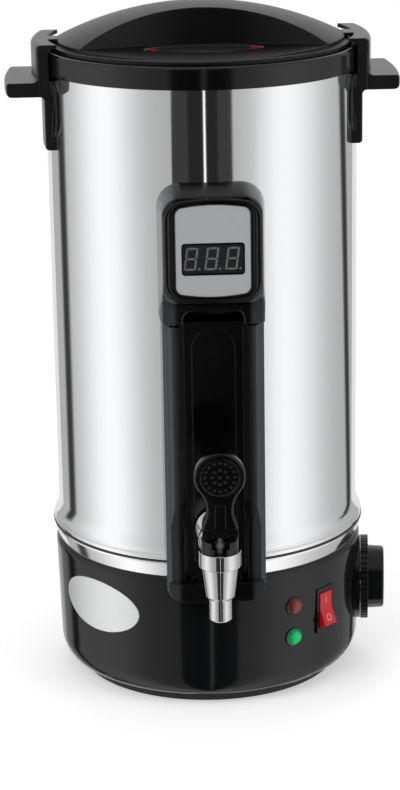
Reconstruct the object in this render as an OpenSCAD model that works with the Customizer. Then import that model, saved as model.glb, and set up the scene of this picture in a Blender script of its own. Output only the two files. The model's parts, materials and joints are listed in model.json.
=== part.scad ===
// Electric wax melter: a double-walled steel pot on a heated base, with a display, a lever tap and a twist lid.
// Millimetres. Z is up, the front faces -Y, and the origin is on the pot's axis at the floor.
// Angles round the pot are counted from the front towards +X.

/* [Vessel] */
// Outer radius of the steel shell
body_r = 100; // [95:0.5:112]
// Wall of the steel shell
shell_wall = 1; // [0.6:0.1:1.4]
// Height of the steel shell above the trim band
shell_h = 306.6; // [240:1:360]
// Width of the air gap between shell and pot
pot_gap = 6; // [5.4:0.1:9]
// Wall of the inner pot
pot_wall = 1; // [0.6:0.1:1.4]
// Radius of the pot's bottom corner
pot_corner_r = 8; // [5:0.5:10]
// Height of the pot's bottom above the trim band
pot_lift = 10; // [9:0.5:11.5]
// How far the shell's foot flares outwards
flare_w = 3; // [1.5:0.25:3.5]
// Height of the flare
flare_h = 11; // [6:0.5:16]
// Height of the rolled hem below the flare
hem_h = 5; // [4:0.5:6]

/* [Base] */
// Height of the black base, feet included
base_h = 91; // [88:0.5:105]
// How far the base bulges past the steel shell
base_bulge = 2.6; // [1.5:0.1:3.5]
// How much the base draws in towards its foot
base_draft = 1.8; // [0.5:0.1:2.5]
// Wall of the base
base_wall = 3; // [2:0.1:3.6]
// Width of the rounding at the bottom edge
base_round_w = 10.5; // [8:0.5:12]
// Height of the rounding at the bottom edge
base_round_h = 15.5; // [10:0.5:18]
// Height of the foot ring
foot_h = 6.5; // [4:0.5:8]
// How much the foot ring draws in towards the floor
foot_taper = 3.5; // [1:0.5:4.5]
// Width of the foot ring where it stands
foot_w = 8.3; // [6:0.1:10]
// Thickness of the steel bottom plate
bottom_plate_t = 1.2; // [0.8:0.1:2]

/* [Trim band] */
// Height of the silver band between base and shell
band_h = 11; // [8:0.5:14]
// How far the top of the band stands out past the shell
band_out = 3.9; // [3:0.1:5]
// How far the bottom of the band stands out past the shell
band_low_out = 0.7; // [0.3:0.1:2]

/* [Collar] */
// Height of the black collar
collar_h = 13.8; // [12:0.2:18]
// How far the collar stands out past the shell
collar_out = 2; // [1.5:0.1:3]
// Thickness of the ledge that the lid sits on
collar_ledge_t = 3; // [2:0.1:4]
// Width of the ledge
ledge_w = 8.3; // [6:0.1:9]

/* [Lid] */
// Gap between the lid's rim and the collar
lid_gap = 1.3; // [0.6:0.1:2]
// Height of the dome above its rim
dome_rise = 24; // [16:0.5:32]
// Height of the lid's rim above the collar
rim_proud = 2.6; // [2:0.1:3]
// Wall of the lid
lid_wall = 3; // [2:0.1:3.4]
// Width of the flat land round the rim
land_w = 4.3; // [3.5:0.1:5]
// Thickness of the hand grip at its middle, at the top
rib_w = 42; // [30:1:50]
// Radius of the scoop beside the hand grip
scoop_r = 127; // [110:1:150]
// How far the scoop's wall leans
scoop_lean = 4; // [0:0.5:6]
// Thickness of the silicone seal
seal_t = 2; // [1.5:0.1:3]
// Depth of the skirt below the rim
skirt_h = 10; // [7:0.5:14]
// Length of the oval inlay
inlay_l = 77; // [50:1:84]
// Depth of the oval inlay
inlay_w = 29; // [20:1:34]
// Thickness of the oval inlay
inlay_t = 0.8; // [0.6:0.1:1.2]

/* [Handles] */
// Width of each side handle
handle_w = 70; // [56:1:76]
// How far the outer wall of the handle stands out from the shell
handle_out = 8.6; // [7.6:0.1:11]
// How far the finger ledge reaches past that wall
ledge_reach = 17.5; // [12:0.5:24]
// Thickness of the finger ledge
ledge_t = 9; // [7:0.5:12]
// Height of the ledge's top below the collar's foot
ledge_drop = 4; // [3:0.5:8]
// Length of the leg below the ledge
leg_h = 34; // [28:1:50]
// How far the leg stands out from the shell
leg_out = 2.7; // [2.4:0.1:4]
// Thickness of the hook over the lid's rim
hook_t = 2.5; // [2:0.1:3.5]
// Clear space between the lid's rim and the hook
hook_gap = 0.7; // [0.5:0.1:1.2]
// Width of the lock tooth on each hook
tooth_w = 16; // [12:1:20]

/* [Front housing] */
// Width of the front housing on the shell
housing_w = 65; // [62:0.5:72]
// Height of the housing's lower end above the floor
housing_low_z = 78.5; // [76:0.5:84]
// Height of the housing's joint with the display hood
hood_low_z = 262; // [250:1:270]
// Depth of the housing's frame in front of the shell
frame_d = 10; // [8.5:0.5:12]
// Depth of the side rails in front of the frame
rail_d = 4; // [2:0.5:6]
// Depth of the channel floor in front of the shell
floor_d = 6; // [5.5:0.25:7.5]
// Width of the channel
channel_w = 37; // [34:0.5:39]
// Width of the arched panel in the channel
panel_w = 27; // [20:0.5:30]
// Radius of the housing's lower corners
housing_corner_r = 13; // [6:0.5:14]

/* [Display] */
// Height of the display hood
hood_h = 86; // [84:0.5:94]
// Depth of the display hood in front of the shell
hood_d = 19; // [17:0.5:22]
// Width of the bezel
bezel_w = 60; // [57:0.5:61]
// Height of the bezel
bezel_h = 65; // [64:0.5:66]
// How far the bezel stands out from the hood
bezel_t = 3; // [2:0.25:4]
// Width of the grey label plate
label_w = 45.6; // [44:0.2:50]
// Height of the grey label plate
label_h = 57; // [50:0.5:58]
// Thickness of the label plate
label_t = 0.8; // [0.5:0.1:1.2]
// Width of the display window
window_w = 37.6; // [36:0.2:40]
// Height of the display window
window_h = 19; // [18:0.2:22]
// How far the window's middle lies below the bezel's middle
window_drop = 5; // [0:0.5:7]
// Height of one digit
digit_h = 14.2; // [12:0.2:15]
// Width of one digit
digit_w = 7.5; // [6.5:0.1:8]
// Distance from digit to digit
digit_pitch = 12.6; // [12:0.1:12.7]
// Slant of the digits in degrees
digit_slant = 8; // [0:1:10]

/* [Tap] */
// Height of the tap's inlet above the trim band
tap_rise = 25.5; // [24:0.5:29]
// Distance of the tap's upright axis in front of the shell
tap_reach = 50; // [48:0.5:60]
// Outer radius of the cup's rim
cup_r = 13.2; // [13:0.1:15]
// Height of the cup's rim
cup_rim_h = 10; // [7:0.5:12]
// Height of the tapered body below the rim
cone_h = 21; // [18:0.5:26]
// Radius of the tapered body at its top
cone_top_r = 11.7; // [11.5:0.1:13]
// Radius of the tapered body at its bottom
cone_low_r = 9.2; // [8.6:0.1:10]
// Outer radius of the nozzle
nozzle_r = 7.2; // [6.6:0.1:8]
// Length of the nozzle
nozzle_h = 14.5; // [10:0.5:20]
// Radius of the nozzle's bore
nozzle_bore_r = 5; // [4:0.1:5.4]
// Outer radius of the threaded shank
shank_r = 6; // [5.4:0.1:6.4]
// Radius of the shank's bore
shank_bore_r = 4; // [3:0.1:4.6]
// Radius of the washers and nut on the shank
washer_r = 9.5; // [9:0.1:10]
// Radius of the ball behind the cup
ball_r = 12.8; // [12:0.1:13.5]

/* [Tap lever] */
// Radius of the round paddle
paddle_r = 15.8; // [13:0.1:18]
// Height of the paddle's centre above the lever's pivot
paddle_up = 36; // [32:0.5:44]
// Thickness of the paddle
paddle_t = 7; // [5:0.5:9]
// Width of the rim round the paddle's dish
paddle_rim_w = 3.6; // [2:0.1:4.4]
// Width of the lever's neck
neck_w = 17; // [14:0.5:20]
// Width of the lever's foot
foot_plate_w = 22.6; // [21:0.2:24]
// Forward lean of the lever in degrees
lever_lean = 5; // [0:1:10]
// Distance of the pivot in front of the stem
crank = 5; // [4.5:0.1:5.5]
// Radius of the valve stem
stem_r = 2.2; // [1.8:0.1:2.6]
// Lift of the valve
valve_lift = 2.5; // [2:0.1:2.6]
// Thickness of the return spring's wire
wire_d = 1; // [0.8:0.1:1.1]
// Turns of the return spring
spring_turns = 4; // [3:1:4]

/* [Knob] */
// Angle of the knob round the base
knob_angle = 84; // [80:1:92]
// Height of the knob's axis above the floor
knob_z = 54.5; // [50:0.5:56]
// Radius of the knob's flange
flange_r = 28.4; // [24:0.2:30]
// Thickness of the knob's flange
flange_t = 5; // [3.5:0.25:7]
// Radius of the knob's hub
hub_r = 21.4; // [16:0.2:23]
// Length of the knob's hub
hub_l = 10.7; // [8:0.1:16]
// Radius of the thermostat's shaft
shaft_r = 3; // [2.5:0.1:3.5]

/* [Switch and lamps] */
// Angle of the rocker switch round the base
switch_angle = 45.2; // [44:0.2:52]
// Height of the switch's middle above the floor
switch_z = 56; // [50:0.5:58]
// Width of the switch's bezel
switch_w = 16.2; // [15.6:0.1:18]
// Height of the switch's bezel
switch_h = 31; // [30:0.5:34]
// Radius of the rocker's sweep
rocker_r = 12.2; // [11.5:0.1:12.6]
// Width of the rocker
rocker_w = 11.4; // [10:0.1:11.8]
// Tilt of the rocker to each side in degrees
rocker_tilt = 12; // [8:1:14]
// Angle of the lamps round the base
lamp_angle = 30; // [28:0.2:33]
// Height of the red lamp above the floor
red_z = 65; // [62:0.5:70]
// Height of the green lamp above the floor
green_z = 43.5; // [36:0.5:45]
// Radius of a lamp's lens
lamp_r = 6.3; // [5.5:0.1:7]
// Height of a lamp's dome
lamp_dome_h = 3.6; // [2:0.1:4.5]

/* [Badge] */
// Angle of the badge plate round the base, on the left
badge_angle = 48.5; // [46:0.5:60]
// Height of the badge's middle above the floor
badge_z = 62.5; // [52:0.5:64]
// Width of the badge, measured straight across
badge_w = 68.5; // [50:0.5:72]
// Height of the badge
badge_h = 35; // [26:0.5:38]
// Thickness of the badge plate
badge_t = 0.8; // [0.5:0.1:1.5]

/* [Power inlet] */
// Height of the inlet's middle above the floor
inlet_z = 45; // [42:0.5:52]
// Width of the inlet's flange
inlet_w = 50; // [49:0.5:52]
// Height of the inlet's flange
inlet_h = 28; // [27:0.5:32]
// Thickness of the inlet's flange
inlet_t = 2; // [1.5:0.1:2.5]
// Width of the plug's opening
socket_w = 24.5; // [24:0.1:25.4]
// Height of the plug's opening
socket_h = 17; // [16.4:0.1:17.6]
// Depth of the plug's opening
socket_d = 17; // [15:0.5:19]

/* [Heater] */
// Radius of the aluminium heater plate
heater_r = 76; // [70:0.5:80]
// Thickness of the heater plate
heater_t = 8.5; // [8:0.25:9]
// Radius of the element's ring, to its middle
element_ring_r = 56; // [48:0.5:64]
// Radius of the element's tube
element_r = 3.3; // [2.5:0.1:3.6]
// Radius of the stud that clamps the heater
stud_r = 4; // [3:0.1:5]

/* [Fits] */
// Gap between curved faces that are fixed together
fit = 0.1; // [0.05:0.01:0.15]
// Radial clearance of a pin or shaft that turns in its hole
run = 0.06; // [0.02:0.01:0.1]
// Gap between pieces that move past each other
clear = 0.3; // [0.2:0.05:0.4]

/* [Hidden] */
$fn = 96;
eps = 0.01;
far = 400;

// Heights, from the floor up
band_top_z = base_h + band_h;
tap_z = band_top_z + tap_rise;
shell_top_z = band_top_z + shell_h;
pot_low_z = band_top_z + pot_lift;
flange_top_z = shell_top_z + pot_wall;
collar_low_z = flange_top_z - 4.8;
collar_top_z = collar_low_z + collar_h;
ledge_z = flange_top_z + collar_ledge_t;
lid_low_z = ledge_z + seal_t;
rim_z = collar_top_z + rim_proud;
lid_top_z = rim_z + dome_rise;
base_floor_z = foot_h + base_wall;

// Radii
shell_in_r = body_r - shell_wall;
pot_out_r = shell_in_r - pot_gap;
pot_in_r = pot_out_r - pot_wall;
collar_r = body_r + collar_out;
recess_r = collar_r - 4.2;
lid_r = recess_r - lid_gap;
mouth_r = recess_r - ledge_w;
skirt_r = mouth_r - 1.5;
land_r = lid_r - land_w;
dome_r = (pow(lid_r, 2) + pow(dome_rise, 2)) / (2 * dome_rise);
base_top_r = body_r + base_bulge;
base_low_r = base_top_r - base_draft;
base_edge_r = base_low_r - base_round_w;
foot_top_r = base_edge_r - 0.5;
foot_low_r = foot_top_r - foot_taper;
foot_in_r = foot_low_r - foot_w;
top_round_h = 4;
band_in_r = shell_in_r - 1.5;

// Points on a quarter of an ellipse from angle a to angle b
function bow(cx, cz, w, h, a, b, n = 8) =
    [for (i = [0 : n]) let (t = a + (b - a) * i / n) [cx + w * cos(t), cz + h * sin(t)]];
function oval(w, h, n = 72) = [for (i = [0 : n - 1]) [w / 2 * cos(360 * i / n), h / 2 * sin(360 * i / n)]];
// Radius of the base's outside at height z, on its straight flank
function base_r_at(z) = base_low_r + base_draft * (z - foot_h - base_round_h)
    / (base_h - top_round_h - foot_h - base_round_h);

// Places children on the body's side: X runs along the surface, Y up and Z outwards
module facing(angle, radius, z)
    rotate([0, 0, angle]) translate([0, -radius, z]) rotate([90, 0, 0]) children();

module revolve(points) rotate_extrude($fn = 180) polygon(points);

module ring(r_out, r_in, z_low, z_high)
    translate([0, 0, z_low]) difference() {
        cylinder(r = r_out, h = z_high - z_low, $fn = 180);
        translate([0, 0, -1]) cylinder(r = r_in, h = z_high - z_low + 2, $fn = 180);
    }

module block(size) translate([-size.x / 2, -size.y / 2, 0]) cube(size);

// A straight bar with round ends between two points of a plane, used for outlines
module rounded(w, h, r) {
    square([w - 2 * r, h], center = true);
    square([w, h - 2 * r], center = true);
    for (x = [-1, 1], y = [-1, 1]) translate([x * (w / 2 - r), y * (h / 2 - r)]) circle(r = r, $fn = 32);
}

// The base's outline, grown outwards by g; a negative g gives the cavity
function base_outline(g) = concat(
    [[0, base_h + (g < 0 ? 1 : 0)], [body_r + 0.2 + g, base_h + (g < 0 ? 1 : 0)]],
    bow(body_r + 0.2 + g, base_h - top_round_h, base_top_r - body_r - 0.2, top_round_h, 90, 0),
    bow(base_edge_r + g, foot_h + base_round_h, base_round_w, base_round_h + min(g, 0), 0, -90, 12),
    [[0, foot_h - min(g, 0)]]);

// Everything on the vessel's outside that a fitted piece must follow, grown by g
module vessel_outline(g) {
    translate([0, 0, band_top_z]) cylinder(r = body_r + g, h = collar_low_z - band_top_z, $fn = 180);
    revolve(concat([[0, band_top_z + flare_h + hem_h + g]], flare_points(g), [[0, band_top_z]]));
    translate([0, 0, base_h - fit]) cylinder(r = body_r + band_out + g, h = band_h + 2 * fit, $fn = 180);
    revolve(base_outline(g));
}

// Outside of the shell's foot, from the straight wall down to the hem
function flare_points(g) = concat(
    [for (i = [0 : 8]) let (t = 60 * i / 8)
        [body_r + g + flare_w * (1 - cos(t)) / 0.5, band_top_z + hem_h + flare_h - flare_h * sin(t) / sin(60)]],
    [[body_r + g + flare_w - 0.5, band_top_z + hem_h - 0.8]],
    bow(body_r + g + flare_w - 0.8, band_top_z + (hem_h - 1) / 2, 1.5, (hem_h - 1) / 2, 60, -80, 6));

// ---- Vessel ----
module outer_shell() color("lightgray") difference() {
    revolve(concat([[body_r, shell_top_z]], flare_points(0), [[body_r + flare_w - 2, band_top_z]],
        [[body_r + flare_w - 2, band_top_z + 2]],
        [for (i = [8 : -1 : 0]) let (t = 60 * i / 8)
            [shell_in_r + flare_w * (1 - cos(t)) / 0.5, band_top_z + hem_h + flare_h - flare_h * sin(t) / sin(60)]],
        [[shell_in_r, shell_top_z]]));
    facing(0, pot_in_r, tap_z) cylinder(r = shank_r + fit, h = 20);
    facing(0, pot_in_r, lead_z) translate([lead_r * sin(lead_angle), 0, 0])
        cylinder(r = lead_d / 2 + clear, h = 20, $fn = 32);
    handle_screw_places() cylinder(r = screw_r + fit, h = 30, center = true, $fn = 32);
    housing_screw_places() cylinder(r = screw_r + fit, h = 30, center = true, $fn = 32);
}

module inner_pot() color("silver") difference() {
    revolve(concat([[0, pot_low_z]],
        bow(pot_out_r - pot_corner_r, pot_low_z + pot_corner_r, pot_corner_r, pot_corner_r, -90, 0),
        [[pot_out_r, shell_top_z], [body_r - fit, shell_top_z], [body_r - fit, flange_top_z], [pot_in_r, flange_top_z]],
        bow(pot_out_r - pot_corner_r, pot_low_z + pot_corner_r, pot_corner_r - pot_wall, pot_corner_r - pot_wall,
            0, -90),
        [[0, pot_low_z + pot_wall]]));
    facing(0, 60, tap_z) cylinder(r = shank_r + fit, h = 60);
}

module collar_ring() color("#1c1d1f") revolve(concat(
    [[body_r + fit, collar_low_z], [collar_r, collar_low_z]],
    bow(collar_r - 2, collar_top_z - 2, 2, 2, 0, 90, 6),
    [[recess_r + 0.5, collar_top_z], [recess_r, collar_top_z - 0.5], [recess_r, ledge_z], [mouth_r, ledge_z],
     [mouth_r, flange_top_z], [body_r + fit, flange_top_z]]));

// ---- Lid ----
// The hollow beside the hand grip on the side that s names, grown by g
module scoop(s, g) intersection() {
    translate([0, s * (rib_w / 2 + scoop_r), rim_z - 10])
        cylinder(r1 = scoop_r - scoop_lean + g, r2 = scoop_r + g, h = dome_rise + 12, $fn = 180);
    translate([0, 0, rim_z - 0.2 + dish_r]) rotate([90, 0, 0])
        cylinder(r = dish_r + g, h = far, center = true, $fn = 720);
}
dish_r = 1450;
inlay_y = -rib_w / 2 - scoop_lean - inlay_w / 2 - 0.6;

module dome(g) translate([0, 0, lid_top_z - dome_r]) sphere(r = dome_r - g, $fn = 360);

module lid() color("#26272a") {
    lid_shell();
    ring(skirt_r, skirt_r - lid_wall, lid_low_z - skirt_h, lid_low_z + 1);
}
module lid_shell() difference() {
    intersection() {
        dome(0);
        revolve(concat([[0, lid_low_z], [lid_r - 0.6, lid_low_z], [lid_r, lid_low_z + 0.6]],
            bow(lid_r - 1.6, rim_z - 1.6, 1.6, 1.6, 0, 90, 5),
            [[land_r, rim_z + 0.1], [land_r, lid_top_z + 5], [0, lid_top_z + 5]]));
    }
    for (s = [-1, 1]) scoop(s, 0);
    // The hollow underside
    difference() {
        intersection() {
            dome(lid_wall);
            translate([0, 0, lid_low_z - 1]) cylinder(r = skirt_r - lid_wall, h = far);
        }
        for (s = [-1, 1]) scoop(s, lid_wall);
    }
    translate([0, inlay_y, rim_z - 0.2 - inlay_t]) linear_extrude(10) polygon(oval(inlay_l + 2 * fit, inlay_w + 2 * fit));
    for (s = [-1, 1]) translate([s * (land_r + 10), 0, lid_low_z - 1])
        block([20, tooth_w + 4, far]);
}

module lid_inlay() color("#6d6f72") translate([0, inlay_y, rim_z - 0.2 - inlay_t])
    linear_extrude(inlay_t) polygon(oval(inlay_l, inlay_w));

module lid_seal() color("#d9d9d6") revolve([
    [skirt_r + clear, lid_low_z], [land_r - clear, lid_low_z], [land_r - clear, ledge_z],
    [mouth_r - clear, ledge_z], [mouth_r - clear, ledge_z - collar_ledge_t], [skirt_r + clear, ledge_z - collar_ledge_t]]);

// ---- Handles ----
handle_r = body_r + handle_out;
ledge_top_z = collar_low_z - ledge_drop;
ledge_low_z = ledge_top_z - ledge_t;
leg_low_z = ledge_low_z - leg_h;
hook_low_z = rim_z + hook_gap;
hook_top_z = hook_low_z + hook_t;
hook_edge = body_r - 4.2;
slot_x = collar_r + 1.2;
screw_r = 2;
screw_inset = 13.3;
screw_y = handle_w / 2 - screw_inset;
screw_head_r = 3.6;
screw_head_h = 2;
screw_l = 5.6;
// A screw from inside the shell, its head's face at the origin
module screw() {
    translate([0, 0, -screw_head_h]) cylinder(r = screw_head_r, h = screw_head_h, $fn = 32);
    translate([0, 0, -1]) cylinder(r = screw_r - run, h = screw_l + 1, $fn = 32);
}
screw_seat_x = sqrt(pow(shell_in_r, 2) - pow(screw_y + screw_head_r, 2)) - run;

// Side view of a handle: X outwards, Y up
function handle_side() = concat(
    [[hook_edge, hook_low_z], [hook_edge, hook_top_z]],
    bow(handle_r - 3, hook_top_z - 3, 3, 3, 90, 0, 5),
    bow(handle_r + 3, ledge_top_z + 3, 3, 3, 180, 270, 5),
    bow(handle_r + ledge_reach - 2, ledge_top_z - 2, 2, 2, 90, 0, 4),
    bow(handle_r + ledge_reach - 3, ledge_low_z + 3, 3, 3, 0, -90, 4),
    [[body_r + leg_out + 3, ledge_low_z]],
    bow(body_r + leg_out + 3, ledge_low_z - 3, 3, 3, 90, 180, 4),
    bow(body_r + leg_out - 2, leg_low_z + 2, 2, 2, 0, -90, 4),
    [[body_r - 12, leg_low_z], [body_r - 12, collar_low_z - 3], [slot_x, collar_low_z - 3], [slot_x, hook_low_z]]);

module handle() {
    difference() {
        union() {
            intersection() {
                translate([0, handle_w / 2, 0]) rotate([90, 0, 0]) linear_extrude(handle_w) polygon(handle_side());
                translate([body_r + 10, 0, leg_low_z - 1]) linear_extrude(far) rounded(60, handle_w, 3);
            }
            // Side cheeks that fill in to the collar, below the slot for the lid's rim
            intersection() {
                translate([slot_x - 9.9, -handle_w / 2, ledge_low_z]) cube([10, handle_w, hook_low_z - ledge_low_z - 6.2]);
                translate([body_r + 10, 0, 0]) linear_extrude(far * 2) rounded(60, handle_w, 3);
            }
            // Saddle pad against the shell
            intersection() {
                ring(body_r + 2.2, body_r - 3, leg_low_z + 6, collar_low_z - 0.3);
                translate([body_r - 20, 0, (leg_low_z + collar_low_z) / 2 + 2]) rotate([90, 0, 90])
                    linear_extrude(40) rounded(handle_w + 13, collar_low_z - leg_low_z - 7, 14);
            }
            // Lock tooth over the lid's rim
            translate([land_r + 0.3, -tooth_w / 2, hook_low_z]) cube([slot_x + 2 - land_r, tooth_w, hook_t]);
        }
        translate([0, 0, leg_low_z - 2]) cylinder(r = body_r + fit, h = collar_low_z + 10 - leg_low_z, $fn = 180);
        translate([0, 0, collar_low_z - 0.2]) cylinder(r = collar_r + fit, h = collar_h + 0.4, $fn = 180);
        translate([0, 0, leg_low_z - 2]) cylinder(r = land_r + 0.3, h = far, $fn = 180);
        difference() {
            translate([0, 0, hook_low_z - 1]) cylinder(r = lid_r + 1.7, h = hook_t + 2, $fn = 180);
            translate([0, -tooth_w / 2, 0]) cube([far, tooth_w, far * 2]);
        }
        handle_screw_holes();
    }
}
module handle_screw_holes() for (y = [-1, 1], z = [ledge_low_z - 12, ledge_low_z + ledge_t / 2])
    translate([0, y * screw_y, z]) rotate([0, 90, 0]) cylinder(r = screw_r, h = screw_seat_x + screw_l + clear, $fn = 32);
module handle_screw_places() for (s = [0, 180]) rotate([0, 0, s])
    for (y = [-1, 1], z = [ledge_low_z - 12, ledge_low_z + ledge_t / 2])
        translate([body_r, y * screw_y, z]) rotate([0, 90, 0]) children();

module left_handle() color("#1f2022") rotate([0, 0, 180]) handle();
module right_handle() color("#1f2022") handle();

module handle_screws() color("silver")
    for (s = [0, 180]) rotate([0, 0, s])
        for (y = [-1, 1], z = [ledge_low_z - 12, ledge_low_z + ledge_t / 2])
            translate([screw_seat_x, y * screw_y, z]) rotate([0, 90, 0]) screw();

// ---- Front housing ----
frame_y = body_r + frame_d;
rail_y = frame_y + rail_d;
floor_y = body_r + floor_d;
side_y = sqrt(pow(body_r, 2) - pow(housing_w / 2, 2));
housing_wall = 2.6;
lead_angle = 10;
lead_d = 3.2;
lead_r = pot_out_r + lead_d / 2 + clear;
lead_z = hood_low_z + 40;

// Plan of the housing's frame, X across and Y towards the front
function frame_plan() = [
    [-housing_w / 2, side_y - 6], [-housing_w / 2, side_y], [-housing_w / 2 + 1, frame_y - 3],
    [-housing_w / 2 + 4, frame_y], [-channel_w / 2 - 1.5, frame_y], [-channel_w / 2, floor_y],
    [channel_w / 2, floor_y], [channel_w / 2 + 1.5, frame_y], [housing_w / 2 - 4, frame_y],
    [housing_w / 2 - 1, frame_y - 3], [housing_w / 2, side_y], [housing_w / 2, side_y - 6]];
function rail_plan() = [
    [channel_w / 2 + 1.6, frame_y - eps], [channel_w / 2 + 3.6, rail_y], [housing_w / 2 - 6.5, rail_y],
    [housing_w / 2 - 3.6, frame_y - eps]];

module front_housing() color("#141516") difference() {
    union() {
        intersection() {
            translate([0, 0, housing_low_z]) mirror([0, 1, 0]) linear_extrude(hood_low_z - housing_low_z) polygon(frame_plan());
            // Rounded lower corners
            translate([0, 0, housing_low_z + far / 2]) rotate([90, 0, 0]) linear_extrude(far)
                rounded(housing_w + 0.02, far, housing_corner_r);
        }
        // Side rails with a tapered foot
        for (s = [0, 1]) mirror([s, 0, 0]) intersection() {
            translate([0, 0, tap_z]) mirror([0, 1, 0]) linear_extrude(hood_low_z - tap_z) polygon(rail_plan());
            rotate([90, 0, 90]) linear_extrude(far) polygon([
                [-frame_y + 1, tap_z - 4], [-rail_y - 1, tap_z + 8 + 12], [-rail_y - 1, hood_low_z - 2],
                [-frame_y + 1, hood_low_z + 0.001]]);
        }
        // Raised pad at the channel's foot
        translate([0, -floor_y + 1, housing_low_z + 10.5]) rotate([90, 0, 0]) linear_extrude(4) rounded(33, 17, 7);
    }
    vessel_outline(fit);
    // Arched panel in the channel floor
    translate([0, -floor_y - 1, 0]) rotate([90, 0, 0]) translate([0, 0, -1.8]) linear_extrude(3) {
        translate([-panel_w / 2, housing_low_z + 26]) square([panel_w, hood_low_z - housing_low_z - 44]);
        translate([0, hood_low_z - 18]) circle(r = panel_w / 2, $fn = 64);
    }
    // Cavity behind each rail
    for (s = [0, 1]) mirror([s, 0, 0])
        translate([channel_w / 2 + housing_wall, -frame_y + housing_wall, tap_z + 12])
            cube([housing_w / 2 - channel_w / 2 - 2 * housing_wall - 1, 20, hood_low_z - tap_z - 40]);
    facing(0, body_r - 10, tap_z) cylinder(r = shank_r + fit, h = 30);
    housing_screw_places() translate([0, 0, -1]) cylinder(r = screw_r, h = 8, $fn = 32);
}

// Screws from inside the shell into the housing and the hood
module housing_screw_places() for (s = [-1, 1], z = [tap_z + 4, hood_low_z - 14, hood_low_z + 7])
    translate([s * housing_screw_x, run - sqrt(pow(shell_in_r, 2) - pow(housing_screw_x + screw_head_r, 2)), z])
        rotate([90, 0, 0]) children();
housing_screw_x = 25.5;
module housing_screws() color("silver") housing_screw_places() screw();

// ---- Display ----
hood_y = body_r + hood_d;
hood_top_z = hood_low_z + hood_h;
bezel_z = hood_low_z + 15.5 + bezel_h / 2;
window_z = bezel_z - window_drop;
label_y = hood_y + bezel_t - 2;
pane_back = 0.6;

// Outline with arched top and bottom edges, as seen from the front
module arched(w, h, r, rise) intersection() {
    rounded(w, h, r);
    translate([0, h / 2 - arch_r(w, rise)]) circle(r = arch_r(w, rise), $fn = 360);
    translate([0, -h / 2 + arch_r(w, rise)]) circle(r = arch_r(w, rise), $fn = 360);
}
function arch_r(w, rise) = (pow(w / 2, 2) + pow(rise, 2)) / (2 * rise);

module display_hood() color("#17181a") difference() {
    intersection() {
        translate([0, 0, hood_low_z]) mirror([0, 1, 0]) linear_extrude(hood_h) polygon([
            [-housing_w / 2 - 0.8, side_y - 6], [-housing_w / 2 - 0.8, side_y], [-bezel_w / 2 - 0.5, hood_y - 3],
            [-bezel_w / 2 + 2, hood_y], [bezel_w / 2 - 2, hood_y], [bezel_w / 2 + 0.5, hood_y - 3],
            [housing_w / 2 + 0.8, side_y], [housing_w / 2 + 0.8, side_y - 6]]);
        // Side view: sloping top, upright face, set-back shoulder
        rotate([90, 0, 90]) linear_extrude(far, center = true) polygon([
            [-body_r + 12, hood_low_z], [-rail_y - 0.5, hood_low_z], [-rail_y - 1.5, bezel_z - bezel_h / 2 - 2],
            [-hood_y, bezel_z - bezel_h / 2], [-hood_y, bezel_z + bezel_h / 2], [-hood_y + 2, hood_top_z - 3],
            [-body_r, hood_top_z], [-body_r + 12, hood_top_z]]);
        translate([0, 0, hood_top_z - far / 2]) rotate([90, 0, 0]) linear_extrude(far)
            rounded(housing_w + 1.62, far, 13);
    }
    vessel_outline(fit);
    // Room for the display module, leaving four posts that carry its board
    difference() {
        translate([0, -hood_y + hood_wall, bezel_z]) rotate([-90, 0, 0]) linear_extrude(far)
            square([board_w + 2, board_h + 2], center = true);
        for (x = [-1, 1], y = [-1, 1])
            translate([x * (board_w / 2 - 3), -board_y, bezel_z + y * (board_h / 2 - 3)]) rotate([90, 0, 0])
                cylinder(r = 2.5, h = 20, $fn = 32);
    }
    translate([0, -hood_y - 1, window_z]) rotate([-90, 0, 0])
        linear_extrude(hood_wall + 2) square([window_w + 1, window_h + 1], center = true);
    housing_screw_places() translate([0, 0, -1]) cylinder(r = screw_r, h = 8, $fn = 32);
}
hood_wall = 3;
board_w = 45;
board_h = 52;
board_y = hood_y - hood_wall - 7.2;

module display_bezel() color("#0d0d0e") translate([0, -hood_y, bezel_z]) rotate([90, 0, 0]) difference() {
    linear_extrude(bezel_t) arched(bezel_w, bezel_h, 10, 3);
    translate([0, -window_drop, -1]) linear_extrude(bezel_t + 2) square([window_w + 1, window_h + 1], center = true);
    translate([0, 0, bezel_t - 2]) linear_extrude(3) arched(label_w + 2 * fit, label_h + 2 * fit, 4, 2.4);
}
module display_label() color("#9a9c9f") translate([0, -label_y, bezel_z]) rotate([90, 0, 0]) difference() {
    linear_extrude(label_t) arched(label_w, label_h, 4, 2.4);
    translate([0, -window_drop, -1]) linear_extrude(label_t + 2) square([window_w, window_h], center = true);
}
module display_window() color("#2b2d30", 0.6) translate([0, -label_y, window_z]) rotate([90, 0, 0])
    linear_extrude(label_t) square([window_w - 2 * fit, window_h - 2 * fit], center = true);
module led_module() color("#1a1b1d") translate([0, -board_y, window_z]) rotate([90, 0, 0])
    linear_extrude(label_y - pane_back - board_y) square([window_w, window_h], center = true);

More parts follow.
